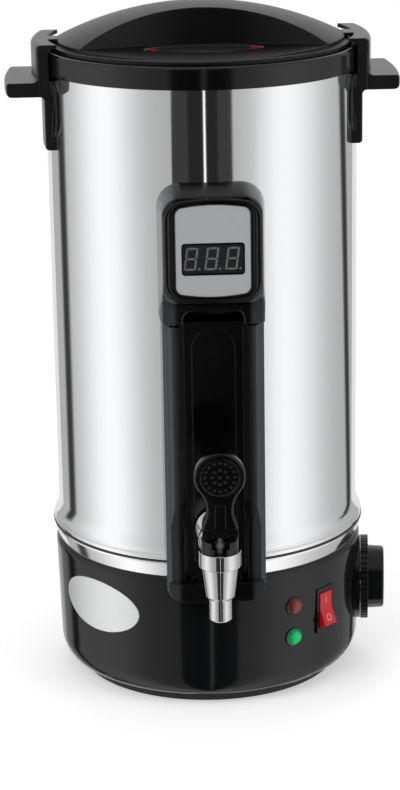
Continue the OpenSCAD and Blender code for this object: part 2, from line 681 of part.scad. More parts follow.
// One digit of seven bars and a point, slanted; its origin is the digit's middle
bar = 1.2;
module digit() multmatrix([[1, tan(digit_slant), 0, 0], [0, 1, 0, 0], [0, 0, 1, 0]]) {
    for (y = [-1, 0, 1]) translate([0, y * (digit_h - bar) / 2]) square([digit_w - 2 * bar - 0.4, bar], center = true);
    for (x = [-1, 1], y = [-1, 1]) translate([x * (digit_w - bar) / 2, y * digit_h / 4])
        square([bar, digit_h / 2 - bar * 0.6], center = true);
}
module led_digits() color("#c9cbcd") translate([0, -label_y + pane_back, window_z]) rotate([90, 0, 0])
    for (i = [-1, 0, 1]) translate([i * digit_pitch - 0.8, 0, 0]) linear_extrude(0.3) {
        digit();
        translate([digit_w / 2 + 1.1, -digit_h / 2 + 0.7]) circle(r = 0.7, $fn = 24);
    }
module display_board() color("#2f6b3a") translate([0, -board_y, bezel_z]) rotate([-90, 0, 0])
    linear_extrude(1.6) square([board_w, board_h], center = true);

// Lead from the display board down the air gap into the base
function lead_at(r, z) = [r * sin(lead_angle), -r * cos(lead_angle), z];
module lead_run(a, b) {
    d = b - a;
    translate(a) rotate([0, acos(d.z / norm(d)), atan2(d.y, d.x)]) cylinder(r = lead_d / 2, h = norm(d), $fn = 32);
}
module display_lead() color("#8a1f1f") {
    lead_top = [lead_r * sin(lead_angle), -board_y + 1.6, lead_z];
    lead_run(lead_top, lead_at(lead_r, lead_z));
    elbow(lead_at(lead_r, lead_z), lead_d / 2);
    lead_run(lead_at(lead_r, lead_z), lead_at(lead_r, terminal_z));
    elbow(lead_at(lead_r, terminal_z), lead_d / 2);
    lead_run(lead_at(lead_r, terminal_z), lead_at(terminal_r, terminal_z));
}
// Rounds the corner between two straight runs of a wire or tube, a little fuller than the run
module elbow(place, r) translate(place) sphere(r = r + 0.05, $fn = 32);

// ---- Trim band and base ----
module trim_band() color("gainsboro") revolve([
    [band_in_r, base_h], [body_r + band_low_out, base_h], [body_r + band_out, band_top_z - 1.4],
    [body_r + band_out - 0.2, band_top_z - 0.5], [body_r + band_out - 1, band_top_z],
    [shell_in_r - 0.2, band_top_z], [shell_in_r - 0.2, band_top_z + 4], [band_in_r, band_top_z + 4]]);

terminal_size = [34, 15, 16];
terminal_r = base_edge_r - 6.3;
terminal_z = base_floor_z + terminal_size.y / 2;
plate_screw_r = foot_in_r - 4;
socket_face = base_r_at(inlet_z) - 3.4;
pad_depth = 9;
pad_r = base_low_r - pad_depth;

module base_shell() color("#101113") difference() {
    union() {
        difference() {
            revolve(base_outline(0));
            revolve(base_outline(-base_wall));
        }
        // Flat pads inside, for the thermostat and the power inlet
        intersection() {
            union() {
                facing(knob_angle, pad_r, knob_z) linear_extrude(pad_depth) rounded(46, 40, 3);
                facing(180, pad_r, inlet_z) linear_extrude(pad_depth) rounded(inlet_w + 6, inlet_h + 6, 3);
            }
            revolve(base_outline(-0.5));
        }
    }
    translate([0, 0, -1]) cylinder(r = plate_screw_r - 4, h = 30, $fn = 180);
    // Knob shaft and the thermostat's two screws
    facing(knob_angle, 60, knob_z) cylinder(r = shaft_r + 2, h = 60);
    facing(knob_angle, 60, knob_z) for (x = [-1, 1]) translate([x * 14, 0, 0]) cylinder(r = 1.6, h = 60, $fn = 24);
    facing(knob_angle, dial_low_r + 0.2, knob_z) for (x = [-1, 1]) translate([x * 14, 0, 0])
        cylinder(r = 3.1, h = 20, $fn = 24);
    // Rocker switch, with a flat seat for its bezel
    facing(switch_angle, 60, switch_z) linear_extrude(60)
        square([switch_body_w + 2 * fit, switch_body_h + 2 * fit], center = true);
    facing(switch_angle, base_r_at(switch_z) - switch_sunk, switch_z) linear_extrude(30)
        square([switch_w + 2 * fit, switch_h + 2 * fit], center = true);
    // Lamps
    for (z = [red_z, green_z]) {
        facing(lamp_angle, 60, z) cylinder(r = lamp_r - 0.8, h = 60);
        facing(lamp_angle, base_r_at(z) - 0.4, z) cylinder(r = lamp_r + fit, h = 30);
    }
    // Power inlet with a flat seat for its flange
    facing(180, 60, inlet_z) linear_extrude(60) square([socket_w + 4 + 2 * fit, socket_h + 4 + 2 * fit], center = true);
    facing(180, socket_face, inlet_z) linear_extrude(30) square([inlet_w + 2 * fit, inlet_h + 2 * fit], center = true);
    facing(180, 60, inlet_z) for (x = [-1, 1]) translate([x * 20, 0, 0]) cylinder(r = 1.6, h = 60, $fn = 24);
    // Bottom plate screws
    for (a = [45 : 90 : 315]) rotate([0, 0, a]) translate([plate_screw_r, 0, -1]) cylinder(r = 1.6, h = 30, $fn = 24);
}

module foot_ring() color("#0b0b0c") revolve([
    [foot_in_r, 0], [foot_low_r, 0], [foot_low_r + 0.4, 0.6], [foot_top_r, foot_h], [foot_in_r, foot_h]]);

module bottom_plate() color("silver") translate([0, 0, foot_h - bottom_plate_t]) difference() {
    cylinder(r = foot_in_r - 2 * fit, h = bottom_plate_t, $fn = 180);
    for (a = [45 : 90 : 315]) rotate([0, 0, a]) translate([plate_screw_r, 0, -1]) cylinder(r = 1.8, h = 9, $fn = 24);
    translate([0, 0, -1]) cylinder(r = stud_r + fit, h = 9, $fn = 48);
    // Vents
    for (r = [22 : 12 : 58], a = [0 : 360 / round(r / 3.6) : 359])
        rotate([0, 0, a]) translate([r, 0, -1]) cylinder(r = 2.2, h = 9, $fn = 24);
}
module bottom_screws() color("silver") for (a = [45 : 90 : 315])
    rotate([0, 0, a]) translate([plate_screw_r, 0, 0]) {
        translate([0, 0, foot_h - bottom_plate_t - 1.8]) cylinder(r = 3, h = 1.8, $fn = 32);
        translate([0, 0, foot_h - bottom_plate_t - eps]) cylinder(r = 1.55, h = base_wall + bottom_plate_t - 0.3, $fn = 32);
    }

// The base's straight flank as a cone, grown by g
module flank(g) translate([0, 0, foot_h + base_round_h]) cylinder(
    r1 = base_low_r + g, r2 = base_top_r + g, h = base_h - top_round_h - foot_h - base_round_h, $fn = 180);

module badge_plate() color("gainsboro") intersection() {
    difference() {
        flank(badge_t + fit / 2);
        flank(fit / 2);
    }
    facing(-badge_angle, 40, badge_z) linear_extrude(80) polygon(oval(badge_w, badge_h));
}

// ---- Tap ----
axis_y = body_r + tap_reach;
cup_top_z = tap_z + 0.5;
cone_top_z = cup_top_z - cup_rim_h;
cone_low_z = cone_top_z - cone_h;
nozzle_low_z = cone_low_z - nozzle_h;
chamber_r = cone_top_r - 2;
seat_z = cone_top_z - 12;
// Narrow throat above the nozzle's bore, which the disc closes
throat_r = nozzle_bore_r - 0.6;
throat_h = 4;
ball_y = axis_y - cup_r - 4.5;
pivot_y = axis_y + crank;
pivot_z = tap_z + 13;
lever_foot_r = 4.2;
lever_foot_w = foot_plate_w - 1;
lever_face = lever_foot_r - 0.2;
bonnet_top_z = pivot_z - lever_foot_r - clear - 0.1;
spring_roof_z = cone_top_z + 3;
slot_low_z = cone_top_z + 8.5;
// The passage slopes from the shank's end down to the valve chamber
passage_from = [-ball_y + 8, tap_z];
passage_to = [-axis_y, cone_top_z - 7];
passage_tilt = atan2(passage_from.y - passage_to.y, passage_from.x - passage_to.x);
passage_l = norm(passage_from - passage_to);
module passage(r) translate([0, passage_from.x, passage_from.y]) rotate([90 + passage_tilt, 0, 0])
    cylinder(r = r, h = passage_l, $fn = 48);

module tap_body() color("gainsboro") difference() {
    union() {
        translate([0, -axis_y, 0]) {
            translate([0, 0, nozzle_low_z]) revolve([[0, 0], [nozzle_r - 0.8, 0], [nozzle_r, 0.8], [nozzle_r, nozzle_h - 1],
                [nozzle_r - 0.4, nozzle_h - 0.5], [nozzle_r - 0.4, nozzle_h], [cone_low_r - 1.5, nozzle_h],
                [cone_low_r, nozzle_h + 1.5], [cone_top_r, nozzle_h + cone_h], [cup_r - 0.3, nozzle_h + cone_h],
                [cup_r, nozzle_h + cone_h + 0.4], [cup_r, nozzle_h + cone_h + cup_rim_h - 0.3],
                [cup_r - 0.3, nozzle_h + cone_h + cup_rim_h], [0, nozzle_h + cone_h + cup_rim_h]]);
        }
        translate([0, -ball_y, tap_z]) sphere(r = ball_r);
        facing(0, floor_y, tap_z) cylinder(r = 9, h = ball_y - floor_y);
        facing(0, floor_y, tap_z) cylinder(r = 13, h = 3);
        passage(6);
    }
    translate([0, -axis_y, 0]) {
        translate([0, 0, seat_z]) cylinder(r = chamber_r, h = 60);
        translate([0, 0, nozzle_low_z - 1]) cylinder(r = nozzle_bore_r, h = seat_z - throat_h - nozzle_low_z + 1);
        translate([0, 0, nozzle_low_z]) cylinder(r = throat_r, h = 60);
        translate([0, 0, cone_top_z + 1]) cylinder(r = cup_r - 1.6, h = 30);
    }
    facing(0, 0, tap_z) cylinder(r = shank_r + fit, h = ball_y - 8);
    passage(3.5);
}

module tap_shank() color("silver") difference() {
    union() {
        facing(0, pot_in_r - 11, tap_z) cylinder(r = shank_r, h = ball_y - 8 - fit - pot_in_r + 11);
        // Thread turns, seen as fine rings
        for (i = [0 : 4]) facing(0, pot_in_r - 10.4 + i * 2, tap_z) cylinder(r = shank_r + 0.05, h = 1);
    }
    facing(0, pot_in_r - 12, tap_z) cylinder(r = shank_bore_r, h = 80);
}
// Washers and nut are six-sided or round rings on the shank
module shank_ring(from_y, to_y, r, sides) facing(0, from_y, tap_z) difference() {
    cylinder(r = r, h = to_y - from_y, $fn = sides);
    translate([0, 0, -1]) cylinder(r = shank_r + fit, h = to_y - from_y + 2);
}
// Where a flat ring of the washers' radius meets the inside of a round wall
function seat_in(r) = sqrt(pow(r, 2) - pow(washer_r, 2));
washer_t = 2;
module tap_washers() color("#c9c4bb") {
    shank_ring(seat_in(pot_in_r) - washer_t, seat_in(pot_in_r) - fit, washer_r, 64);
    shank_ring(pot_out_r + fit, seat_in(shell_in_r) - fit, washer_r, 64);
}
module tap_nut() color("silver")
    shank_ring(seat_in(pot_in_r) - washer_t - 6, seat_in(pot_in_r) - washer_t, washer_r, 6);

// The bonnet closes the cup; its two ears carry the lever's pivot
bonnet_r = cup_r - 1.6 - fit;
ear_in = 5.4;
module tap_bonnet() color("#1a1b1d") difference() {
    union() {
        translate([0, -axis_y, cone_top_z + 1]) cylinder(r = bonnet_r, h = bonnet_top_z - cone_top_z - 1);
        for (s = [-1, 1]) translate([s * (ear_in + ear_t / 2), -pivot_y, 0]) {
            translate([0, crank / 2 + 1, bonnet_top_z - 1]) block([ear_t, crank + 5, pivot_z - bonnet_top_z + 1]);
            translate([-ear_t / 2, 0, pivot_z]) rotate([0, 90, 0]) cylinder(r = ear_r, h = ear_t, $fn = 48);
        }
    }
    // Slot that shows the stem at the front, and room for the lever's nose
    translate([-3.6, -axis_y - 20, slot_low_z]) cube([7.2, 20 + 6, 40]);
    translate([-ear_in, -axis_y - 20, bonnet_top_z - 4]) cube([2 * ear_in, 40, 40]);
    translate([0, -axis_y, seat_z]) cylinder(r = stem_r + run, h = 60, $fn = 48);
    // Spring room
    translate([0, -axis_y, seat_z]) cylinder(r = 6, h = spring_roof_z - seat_z);
    translate([-20, -pivot_y, pivot_z]) rotate([0, 90, 0]) cylinder(r = pin_r + run, h = 40, $fn = 48);
}
pin_r = 1.5;
ear_t = 3.2;
ear_r = 2.9;
module lever_pivot_pin() color("silver") translate([-ear_in - 3, -pivot_y, pivot_z]) rotate([0, 90, 0])
    cylinder(r = pin_r, h = 2 * ear_in + 6, $fn = 48);

// The stem runs through the bonnet; its eye takes the lever's link pin
link_r = 1.1;
link_slack = 0.28;
seat_h = 3;
collar_z = seat_z + seat_h;
module valve_stem() color("silver") difference() {
    union() {
        translate([0, -axis_y, seat_z + fit]) cylinder(r = stem_r, h = pivot_z - seat_z - 3, $fn = 48);
        translate([0, -axis_y, collar_z]) cylinder(r = 4.6, h = 1.2, $fn = 48);
        translate([0, -axis_y, cone_top_z + 12]) cylinder(r = 3.1, h = 3, $fn = 48);
        translate([-1.2, -axis_y - 3, pivot_z - 5]) cube([2.4, 6, 8]);
    }
    translate([-5, -axis_y - 1.9, pivot_z - link_r - link_slack]) cube([10, 3.8, 2 * (link_r + link_slack)]);
    // The stem's flat sides where the lever's fork passes
    for (s = [-1, 1]) translate([s * 4.2, -axis_y, pivot_z - 7]) block([6, 20, 30]);
}
// Soft disc under the stem's collar, which closes the outlet
module valve_disc() color("#d8d5cc") translate([0, -axis_y, 0]) difference() {
    union() {
        translate([0, 0, seat_z + clear]) cylinder(r = throat_r + 2.8, h = seat_h - clear);
        translate([0, 0, seat_z - 2]) cylinder(r1 = throat_r - 1.3, r2 = throat_r - clear, h = 2 + clear);
    }
    translate([0, 0, seat_z + fit]) cylinder(r = stem_r + 0.02, h = 20, $fn = 48);
}

// Return spring: a swept helix between the stem's collar and the bonnet
spring_low_z = collar_z + 1.2 + wire_d / 2 + 0.05;
spring_top_z = spring_roof_z - wire_d / 2 - 0.05;
coil_r = 3.9;
spring_sides = 6;
spring_rings = 8;
spring_steps = spring_turns * spring_rings;
function helix(t) = [coil_r * cos(360 * spring_turns * t), coil_r * sin(360 * spring_turns * t),
    spring_low_z + (spring_top_z - spring_low_z) * t];
// Least distance between points of the wire that lie half a turn or more apart, less the wire
spring_gap = min([for (i = [0 : spring_steps], j = [i + spring_rings / 2 : 1 : spring_steps])
    norm(helix(i / spring_steps) - helix(j / spring_steps))]) - wire_d;
module tap_spring() color("silver") translate([0, -axis_y, 0]) {
    points = [for (i = [0 : spring_steps]) let (t = i / spring_steps, p = helix(t), a = 360 * spring_turns * t)
        for (j = [0 : spring_sides - 1]) let (b = 360 * j / spring_sides)
            p + wire_d / 2 * [cos(b) * cos(a), cos(b) * sin(a), sin(b)]];
    faces = concat(
        [for (i = [0 : spring_steps - 1], j = [0 : spring_sides - 1]) let (k = (j + 1) % spring_sides)
            each [[i * spring_sides + j, i * spring_sides + k, (i + 1) * spring_sides + j],
                [i * spring_sides + k, (i + 1) * spring_sides + k, (i + 1) * spring_sides + j]]],
        [for (j = [1 : spring_sides - 2]) [0, j + 1, j]],
        [for (j = [1 : spring_sides - 2]) let (o = spring_steps * spring_sides) [o, o + j, o + j + 1]]);
    polyhedron(points, faces);
    echo(least_gap_between_turns = spring_gap);
}

// Lever: foot, waisted neck and a round paddle with raised dots
dish_d = 1;
dot_r = 1;
// Radius of each row of dots round the paddle's middle, and how many it has
dot_rows = [[0, 1], [4.7, 8], [9.5, 16]];
mark_w = 6.4;
mark_h = 15.4;
module lever_front() {
    translate([0, paddle_up]) circle(r = paddle_r);
    polygon([[-foot_plate_w / 2, 0], [-foot_plate_w / 2 + 1, 3], [-neck_w / 2 - 0.3, 9],
        [-neck_w / 2, 14], [-neck_w / 2 - 1.5, 20], [-paddle_r * 0.78, paddle_up - paddle_r * 0.6],
        [paddle_r * 0.78, paddle_up - paddle_r * 0.6], [neck_w / 2 + 1.5, 20], [neck_w / 2, 14], [neck_w / 2 + 0.3, 9],
        [foot_plate_w / 2 - 1, 3], [foot_plate_w / 2, 0]]);
}
module tap_lever() color("#131415") difference() {
    union() {
        translate([0, -pivot_y, pivot_z]) rotate([lever_lean, 0, 0]) rotate([90, 0, 0]) {
            translate([0, 0, lever_face - paddle_t]) difference() {
                linear_extrude(paddle_t) lever_front();
                // Dished pad
                translate([0, paddle_up, paddle_t - dish_d]) cylinder(r = paddle_r - paddle_rim_w, h = 5);
            }
            translate([0, paddle_up, lever_face - dish_d - fit]) for (row = dot_rows, i = [1 : row[1]])
                rotate([0, 0, 360 * i / row[1]]) translate([row[0], 0, 0])
                    cylinder(r1 = dot_r, r2 = dot_r - 0.2, h = dish_d, $fn = 16);
            // Raised mark on the neck
            translate([-mark_w / 2, 2.5, lever_face - 0.5]) cube([mark_w, mark_h, 1.2]);
        }
        // Round foot on the pivot, and a nose that reaches back over the stem
        translate([-lever_foot_w / 2, -pivot_y, pivot_z]) rotate([0, 90, 0])
            cylinder(r = lever_foot_r, h = lever_foot_w, $fn = 48);
        translate([0, -pivot_y + (crank + 3.5) / 2, pivot_z - 3]) block([2 * (ear_in - clear), crank + 3.5, 6]);
    }
    // Room for the bonnet's ears at every angle of the lever, and for the stem's eye
    for (s = [-1, 1]) translate([s * (ear_in + ear_t / 2), -pivot_y, pivot_z]) {
        translate([-ear_t / 2 - clear, 0, 0]) rotate([0, 90, 0]) cylinder(r = ear_r + clear, h = ear_t + 2 * clear, $fn = 48);
        translate([0, 0, -20]) block([ear_t + 2 * clear, 40, 19.5]);
        translate([0, 10, -1]) block([ear_t + 2 * clear, 20, ear_r + 1]);
    }
    translate([0, -axis_y, pivot_z - 20]) block([2.4 + 2 * clear, 9.4, 25]);
    translate([-20, -pivot_y, pivot_z]) rotate([0, 90, 0]) cylinder(r = pin_r, h = 40, $fn = 48);
    translate([-20, -axis_y, pivot_z]) rotate([0, 90, 0]) cylinder(r = link_r, h = 40, $fn = 48);
}
module lever_link_pin() color("silver") translate([-4.6, -axis_y, pivot_z]) rotate([0, 90, 0])
    cylinder(r = link_r, h = 9.2, $fn = 48);

// ---- Knob and thermostat ----
dial_low_r = base_low_r - 5.5;
dial_top_r = base_r_at(knob_z + flange_r) + 0.7;
knob_low_r = dial_top_r + clear;
notches = 48;
notch_r = 0.9;
module dial_plate() color("#0e0f10") difference() {
    facing(knob_angle, dial_low_r, knob_z) difference() {
        cylinder(r = flange_r - 0.4, h = dial_top_r - dial_low_r);
        translate([0, 0, -1]) cylinder(r = shaft_r + 1, h = 60);
    }
    revolve(base_outline(fit));
}
module control_knob() color("#0d0e0f") facing(knob_angle, knob_low_r, knob_z) difference() {
    union() {
        cylinder(r = flange_r, h = flange_t);
        translate([0, 0, flange_t - eps]) cylinder(r1 = hub_r, r2 = hub_r - 0.6, h = hub_l - 1 + eps);
        translate([0, 0, flange_t + hub_l - 1 - eps]) cylinder(r1 = hub_r - 0.6, r2 = hub_r - 1.6, h = 1 + eps);
    }
    for (i = [1 : notches]) rotate([0, 0, 360 * i / notches]) translate([flange_r + 0.45, 0, -1])
        cylinder(r = notch_r, h = flange_t + 2, $fn = 24);
    // Hollow back with a boss for the shaft
    translate([0, 0, -1]) difference() {
        cylinder(r = hub_r - 3, h = flange_t + hub_l - 2);
        cylinder(r = shaft_r + 3, h = 60);
    }
    translate([0, 0, -1]) cylinder(r = shaft_r + fit / 2, h = hub_l + 2);
}
bush_low_r = pad_r - 16 + clear;
module thermostat_shaft() color("silver") facing(knob_angle, bush_low_r, knob_z) difference() {
    cylinder(r = shaft_r, h = knob_low_r + hub_l - bush_low_r + 0.8, $fn = 48);
    translate([shaft_r - 1, -10, knob_low_r - bush_low_r]) cube([10, 20, 40]);
}
case_size = [36, 32, 18.5];
case_plate = [44, 34, 1.5];
case_depth = case_size.z + case_plate.z;
module thermostat_body() color("#b9b2a0") facing(knob_angle, pad_r - case_depth, knob_z) difference() {
    union() {
        linear_extrude(case_size.z) square([case_size.x, case_size.y], center = true);
        translate([0, 0, case_size.z - eps]) linear_extrude(case_plate.z) square([case_plate.x, case_plate.y], center = true);
        translate([0, 0, case_depth - eps]) cylinder(r = shaft_r + 1.8, h = 4);
    }
    translate([0, 0, 4]) cylinder(r = shaft_r + run, h = 60, $fn = 48);
    for (x = [-1, 1]) translate([x * 14, 0, -1]) cylinder(r = 1.6, h = 60, $fn = 24);
}
module thermostat_screws() color("silver") facing(knob_angle, pad_r - 1.5, knob_z) for (x = [-1, 1])
    translate([x * 14, 0, 0]) {
        translate([0, 0, -3]) cylinder(r = 1.55, h = dial_low_r - pad_r + 4.7, $fn = 32);
        translate([0, 0, dial_low_r - pad_r + 1.7]) cylinder(r = 2.9, h = 1.8, $fn = 32);
    }

// ---- Switch and lamps ----
switch_sunk = 0.5;
switch_body_w = switch_w - 2.8;
switch_body_h = switch_h - 3.4;
switch_face = base_r_at(switch_z) + 0.9;
rocker_pivot = switch_face - 2.6;
rocker_mid = 3.4;
module switch_body() color("#111213") facing(switch_angle, 0, switch_z) difference() {
    union() {
        translate([0, 0, base_r_at(switch_z) - switch_sunk]) linear_extrude(switch_face - base_r_at(switch_z) + switch_sunk)
            rounded(switch_w, switch_h, 1);
        translate([0, 0, rocker_pivot - 20]) linear_extrude(21.5) square([switch_body_w, switch_body_h], center = true);
    }
    translate([0, 0, rocker_pivot - 10]) linear_extrude(30)
        square([rocker_w + 2 * clear, 2 * rocker_r + 2 * clear], center = true);
    translate([-switch_w / 2, 0, rocker_pivot]) rotate([0, 90, 0]) cylinder(r = 1 + run, h = switch_w, $fn = 32);
}
// The rocker's side outline when level: two flats that meet in a shallow V
module rocker_side() intersection() {
    circle(r = rocker_r);
    polygon([[-20, rocker_mid + 20 * tan(rocker_tilt)], [0, rocker_mid], [20, rocker_mid + 20 * tan(rocker_tilt)],
        [20, -5], [-20, -5]]);
}
module rocker() color("#c4121a") facing(switch_angle, rocker_pivot, switch_z) rotate([-rocker_tilt, 0, 0]) union() {
    translate([-rocker_w / 2, 0, 0]) rotate([90, 0, 90]) linear_extrude(rocker_w) rocker_side();
    translate([-rocker_w / 2 - 0.8, 0, 0]) rotate([0, 90, 0]) cylinder(r = 1, h = rocker_w + 1.6, $fn = 32);
}
module switch_terminals() color("goldenrod") facing(switch_angle, rocker_pivot - 27.9, switch_z)
    for (y = [-7, 0, 7]) translate([0, y, 0]) block([4.8, 0.8, 7.9]);

module lamp(z) facing(lamp_angle, 0, z) {
    translate([0, 0, base_r_at(z) - 16]) cylinder(r = lamp_r - 0.9, h = 16);
    translate([0, 0, base_r_at(z) - 0.3]) cylinder(r = lamp_r, h = 1);
    intersection() {
        translate([0, 0, base_r_at(z) + 0.7 + lamp_dome_h - dome_lens_r]) sphere(r = dome_lens_r);
        translate([0, 0, base_r_at(z) + 0.6]) cylinder(r = lamp_r - 0.3, h = 10);
    }
}
dome_lens_r = (pow(lamp_r - 0.3, 2) + pow(lamp_dome_h, 2)) / (2 * lamp_dome_h);
module red_lamp() color("#8c1f1a") lamp(red_z);
module green_lamp() color("#12a84a") lamp(green_z);
module lamp_clips() color("#e6e4de") for (z = [red_z, green_z])
    facing(lamp_angle, base_r_at(z) - base_wall - 3.7, z) difference() {
        cylinder(r = lamp_r + 2, h = 3, $fn = 6);
        translate([0, 0, -1]) cylinder(r = lamp_r - 0.9 + fit, h = 6);
    }

// ---- Power inlet ----
module power_inlet() color("#151617") facing(180, 0, inlet_z) difference() {
    union() {
        translate([0, 0, socket_face]) linear_extrude(inlet_t) rounded(inlet_w, inlet_h, 4);
        translate([0, 0, socket_face - socket_d - 1]) linear_extrude(socket_d + 1.5)
            square([socket_w + 4, socket_h + 4], center = true);
    }
    translate([0, 0, socket_face + inlet_t - socket_d]) linear_extrude(40) polygon([
        [-socket_w / 2, -socket_h / 2], [socket_w / 2, -socket_h / 2], [socket_w / 2, socket_h / 2 - 5],
        [socket_w / 2 - 5, socket_h / 2], [-socket_w / 2 + 5, socket_h / 2], [-socket_w / 2, socket_h / 2 - 5]]);
    for (x = [-1, 1]) translate([x * 20, 0, 0]) cylinder(r = 1.8, h = far, $fn = 24);
    for (p = pin_places) translate([p.x, p.y, socket_face - socket_d - 5]) block([2, 4, 20]);
}
pin_places = [[-7, -2], [0, 2], [7, -2]];
module inlet_pins() color("goldenrod") facing(180, socket_face - socket_d - 8, inlet_z) for (p = pin_places)
    translate([p.x, p.y, 0]) block([2, 4, 8 + inlet_t + socket_d - 5]);
module inlet_screws() color("silver") facing(180, socket_face + inlet_t, inlet_z) for (x = [-1, 1])
    translate([x * 20, 0, 0]) {
        cylinder(r = 3, h = 1.4, $fn = 32);
        translate([0, 0, -8]) cylinder(r = 1.55, h = 8 + eps, $fn = 32);
    }

// ---- Heater ----
plate_low_z = pot_low_z - heater_t;
element_z = plate_low_z + element_r + clear;
clamp_t = 2.5;
nut_h = 5;
thin_nut_h = 3;
shield_z = base_h - 7;
shield_t = 1;
plate_under_z = foot_h - bottom_plate_t;
// One stud clamps the heater, carries the heat shield and holds the base's bottom plate
module heater_stud() color("silver") translate([0, 0, plate_under_z - thin_nut_h - 0.5])
    cylinder(r = stud_r, h = pot_low_z - plate_under_z + thin_nut_h + 0.5, $fn = 48);
module heater_plate() color("silver") difference() {
    translate([0, 0, plate_low_z]) cylinder(r = heater_r, h = heater_t, $fn = 180);
    translate([0, 0, plate_low_z - 1]) cylinder(r = stud_r + fit, h = 30, $fn = 48);
    // Groove for the element, open below
    translate([0, 0, element_z]) rotate_extrude($fn = 180) translate([element_ring_r, 0])
        circle(r = element_r + fit, $fn = 48);
    ring(element_ring_r + element_r + fit, element_ring_r - element_r - fit, plate_low_z - 1, element_z);
}
module heating_element() color("#7d6a4f") {
    difference() {
        translate([0, 0, element_z]) rotate_extrude($fn = 180) translate([element_ring_r, 0])
            circle(r = element_r, $fn = 48);
        // Gap between the two ends
        translate([0, 0, plate_low_z - 1]) linear_extrude(20)
            polygon([[0, 0], far * [cos(12), sin(12)], far * [cos(12), -sin(12)]]);
    }
    for (a = [12, -12]) rotate([0, 0, a]) translate([element_ring_r, 0, plate_low_z - 14])
        cylinder(r = element_r - fit, h = element_z - plate_low_z + 14, $fn = 48);
}
module heater_clamp() color("silver") difference() {
    translate([0, 0, plate_low_z - clamp_t]) block([24, 2 * element_ring_r + 16, clamp_t]);
    translate([0, 0, plate_low_z - 10]) cylinder(r = stud_r + fit, h = 30, $fn = 48);
}
// Each nut's underside and its height
nut_places = [[plate_low_z - clamp_t - nut_h, nut_h], [shield_z + shield_t, thin_nut_h],
    [shield_z - thin_nut_h, thin_nut_h], [plate_under_z - thin_nut_h, thin_nut_h]];
module heater_nuts() color("silver") for (n = nut_places) translate([0, 0, n[0]]) difference() {
    cylinder(r = stud_r + 3, h = n[1], $fn = 6);
    translate([0, 0, -1]) cylinder(r = stud_r + fit / 2, h = n[1] + 2, $fn = 48);
}
module heat_shield() color("silver") translate([0, 0, shield_z]) difference() {
    cylinder(r = pot_out_r, h = shield_t, $fn = 180);
    translate([0, 0, -1]) cylinder(r = stud_r + fit, h = 9, $fn = 48);
    translate([bulb_x, capillary_y, -1]) cylinder(r = capillary_r + clear, h = 9, $fn = 32);
}
module thermal_cutout() color("#8d8f92") translate([-32, 28, plate_low_z - 9]) {
    cylinder(r = 8, h = 9, $fn = 48);
    for (s = [-1, 1]) translate([s * 4.5, 0, -6]) block([0.8, 6.3, 6 + eps]);
}
// Thermostat bulb under the heater plate, with its capillary to the thermostat
bulb_x = 40;
bulb_r = 2.6;
bulb_end_y = -10;
bulb_l = 24;
capillary_y = bulb_end_y + 4;
capillary_r = 0.9;
bulb_z = plate_low_z - bulb_r - fit;
module sensor_bulb() color("peru") translate([bulb_x, bulb_end_y, bulb_z]) rotate([90, 0, 0])
    cylinder(r = bulb_r, h = bulb_l, $fn = 48);
module capillary() color("peru") {
    corner = [bulb_x, capillary_y, bulb_z];
    low = [bulb_x, capillary_y, knob_z + 6];
    tube([bulb_x, bulb_end_y, bulb_z], corner);
    elbow(corner, capillary_r);
    tube(low, corner);
    elbow(low, capillary_r);
    tube(low, (pad_r - case_depth - fit) * [sin(knob_angle), -cos(knob_angle), 0] + [0, 0, knob_z + 6]);
}
module tube(a, b) {
    d = b - a;
    translate(a) rotate([0, acos(d.z / norm(d)), atan2(d.y, d.x)]) cylinder(r = capillary_r, h = norm(d), $fn = 32);
}
module terminal_block() color("#e8e6df") facing(lead_angle, terminal_r - terminal_size.z, terminal_z) difference() {
    linear_extrude(terminal_size.z) square([terminal_size.x, terminal_size.y - eps], center = true);
    for (x = [-12, -4, 4, 12]) translate([x, 0, -1]) cylinder(r = 2, h = 10, $fn = 24);
}

outer_shell();
inner_pot();
collar_ring();
lid();
lid_inlay();
lid_seal();
left_handle();
right_handle();
handle_screws();
front_housing();
housing_screws();
display_hood();
display_bezel();
display_label();
display_window();
led_module();
led_digits();
display_board();
display_lead();
trim_band();
base_shell();
foot_ring();
bottom_plate();
bottom_screws();
badge_plate();
tap_body();
tap_shank();
tap_washers();
tap_nut();
tap_bonnet();
tap_spring();
valve_stem();
valve_disc();
tap_lever();
lever_pivot_pin();
lever_link_pin();
dial_plate();
control_knob();
thermostat_shaft();
thermostat_body();
thermostat_screws();
switch_body();
rocker();
switch_terminals();
red_lamp();
green_lamp();
lamp_clips();
power_inlet();
inlet_pins();
inlet_screws();
heater_stud();
heater_plate();
heating_element();
heater_clamp();
heater_nuts();
heat_shield();
thermal_cutout();
sensor_bulb();
capillary();
terminal_block();
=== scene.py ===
import json
import math

import bmesh
import bpy
from mathutils import Matrix, Vector


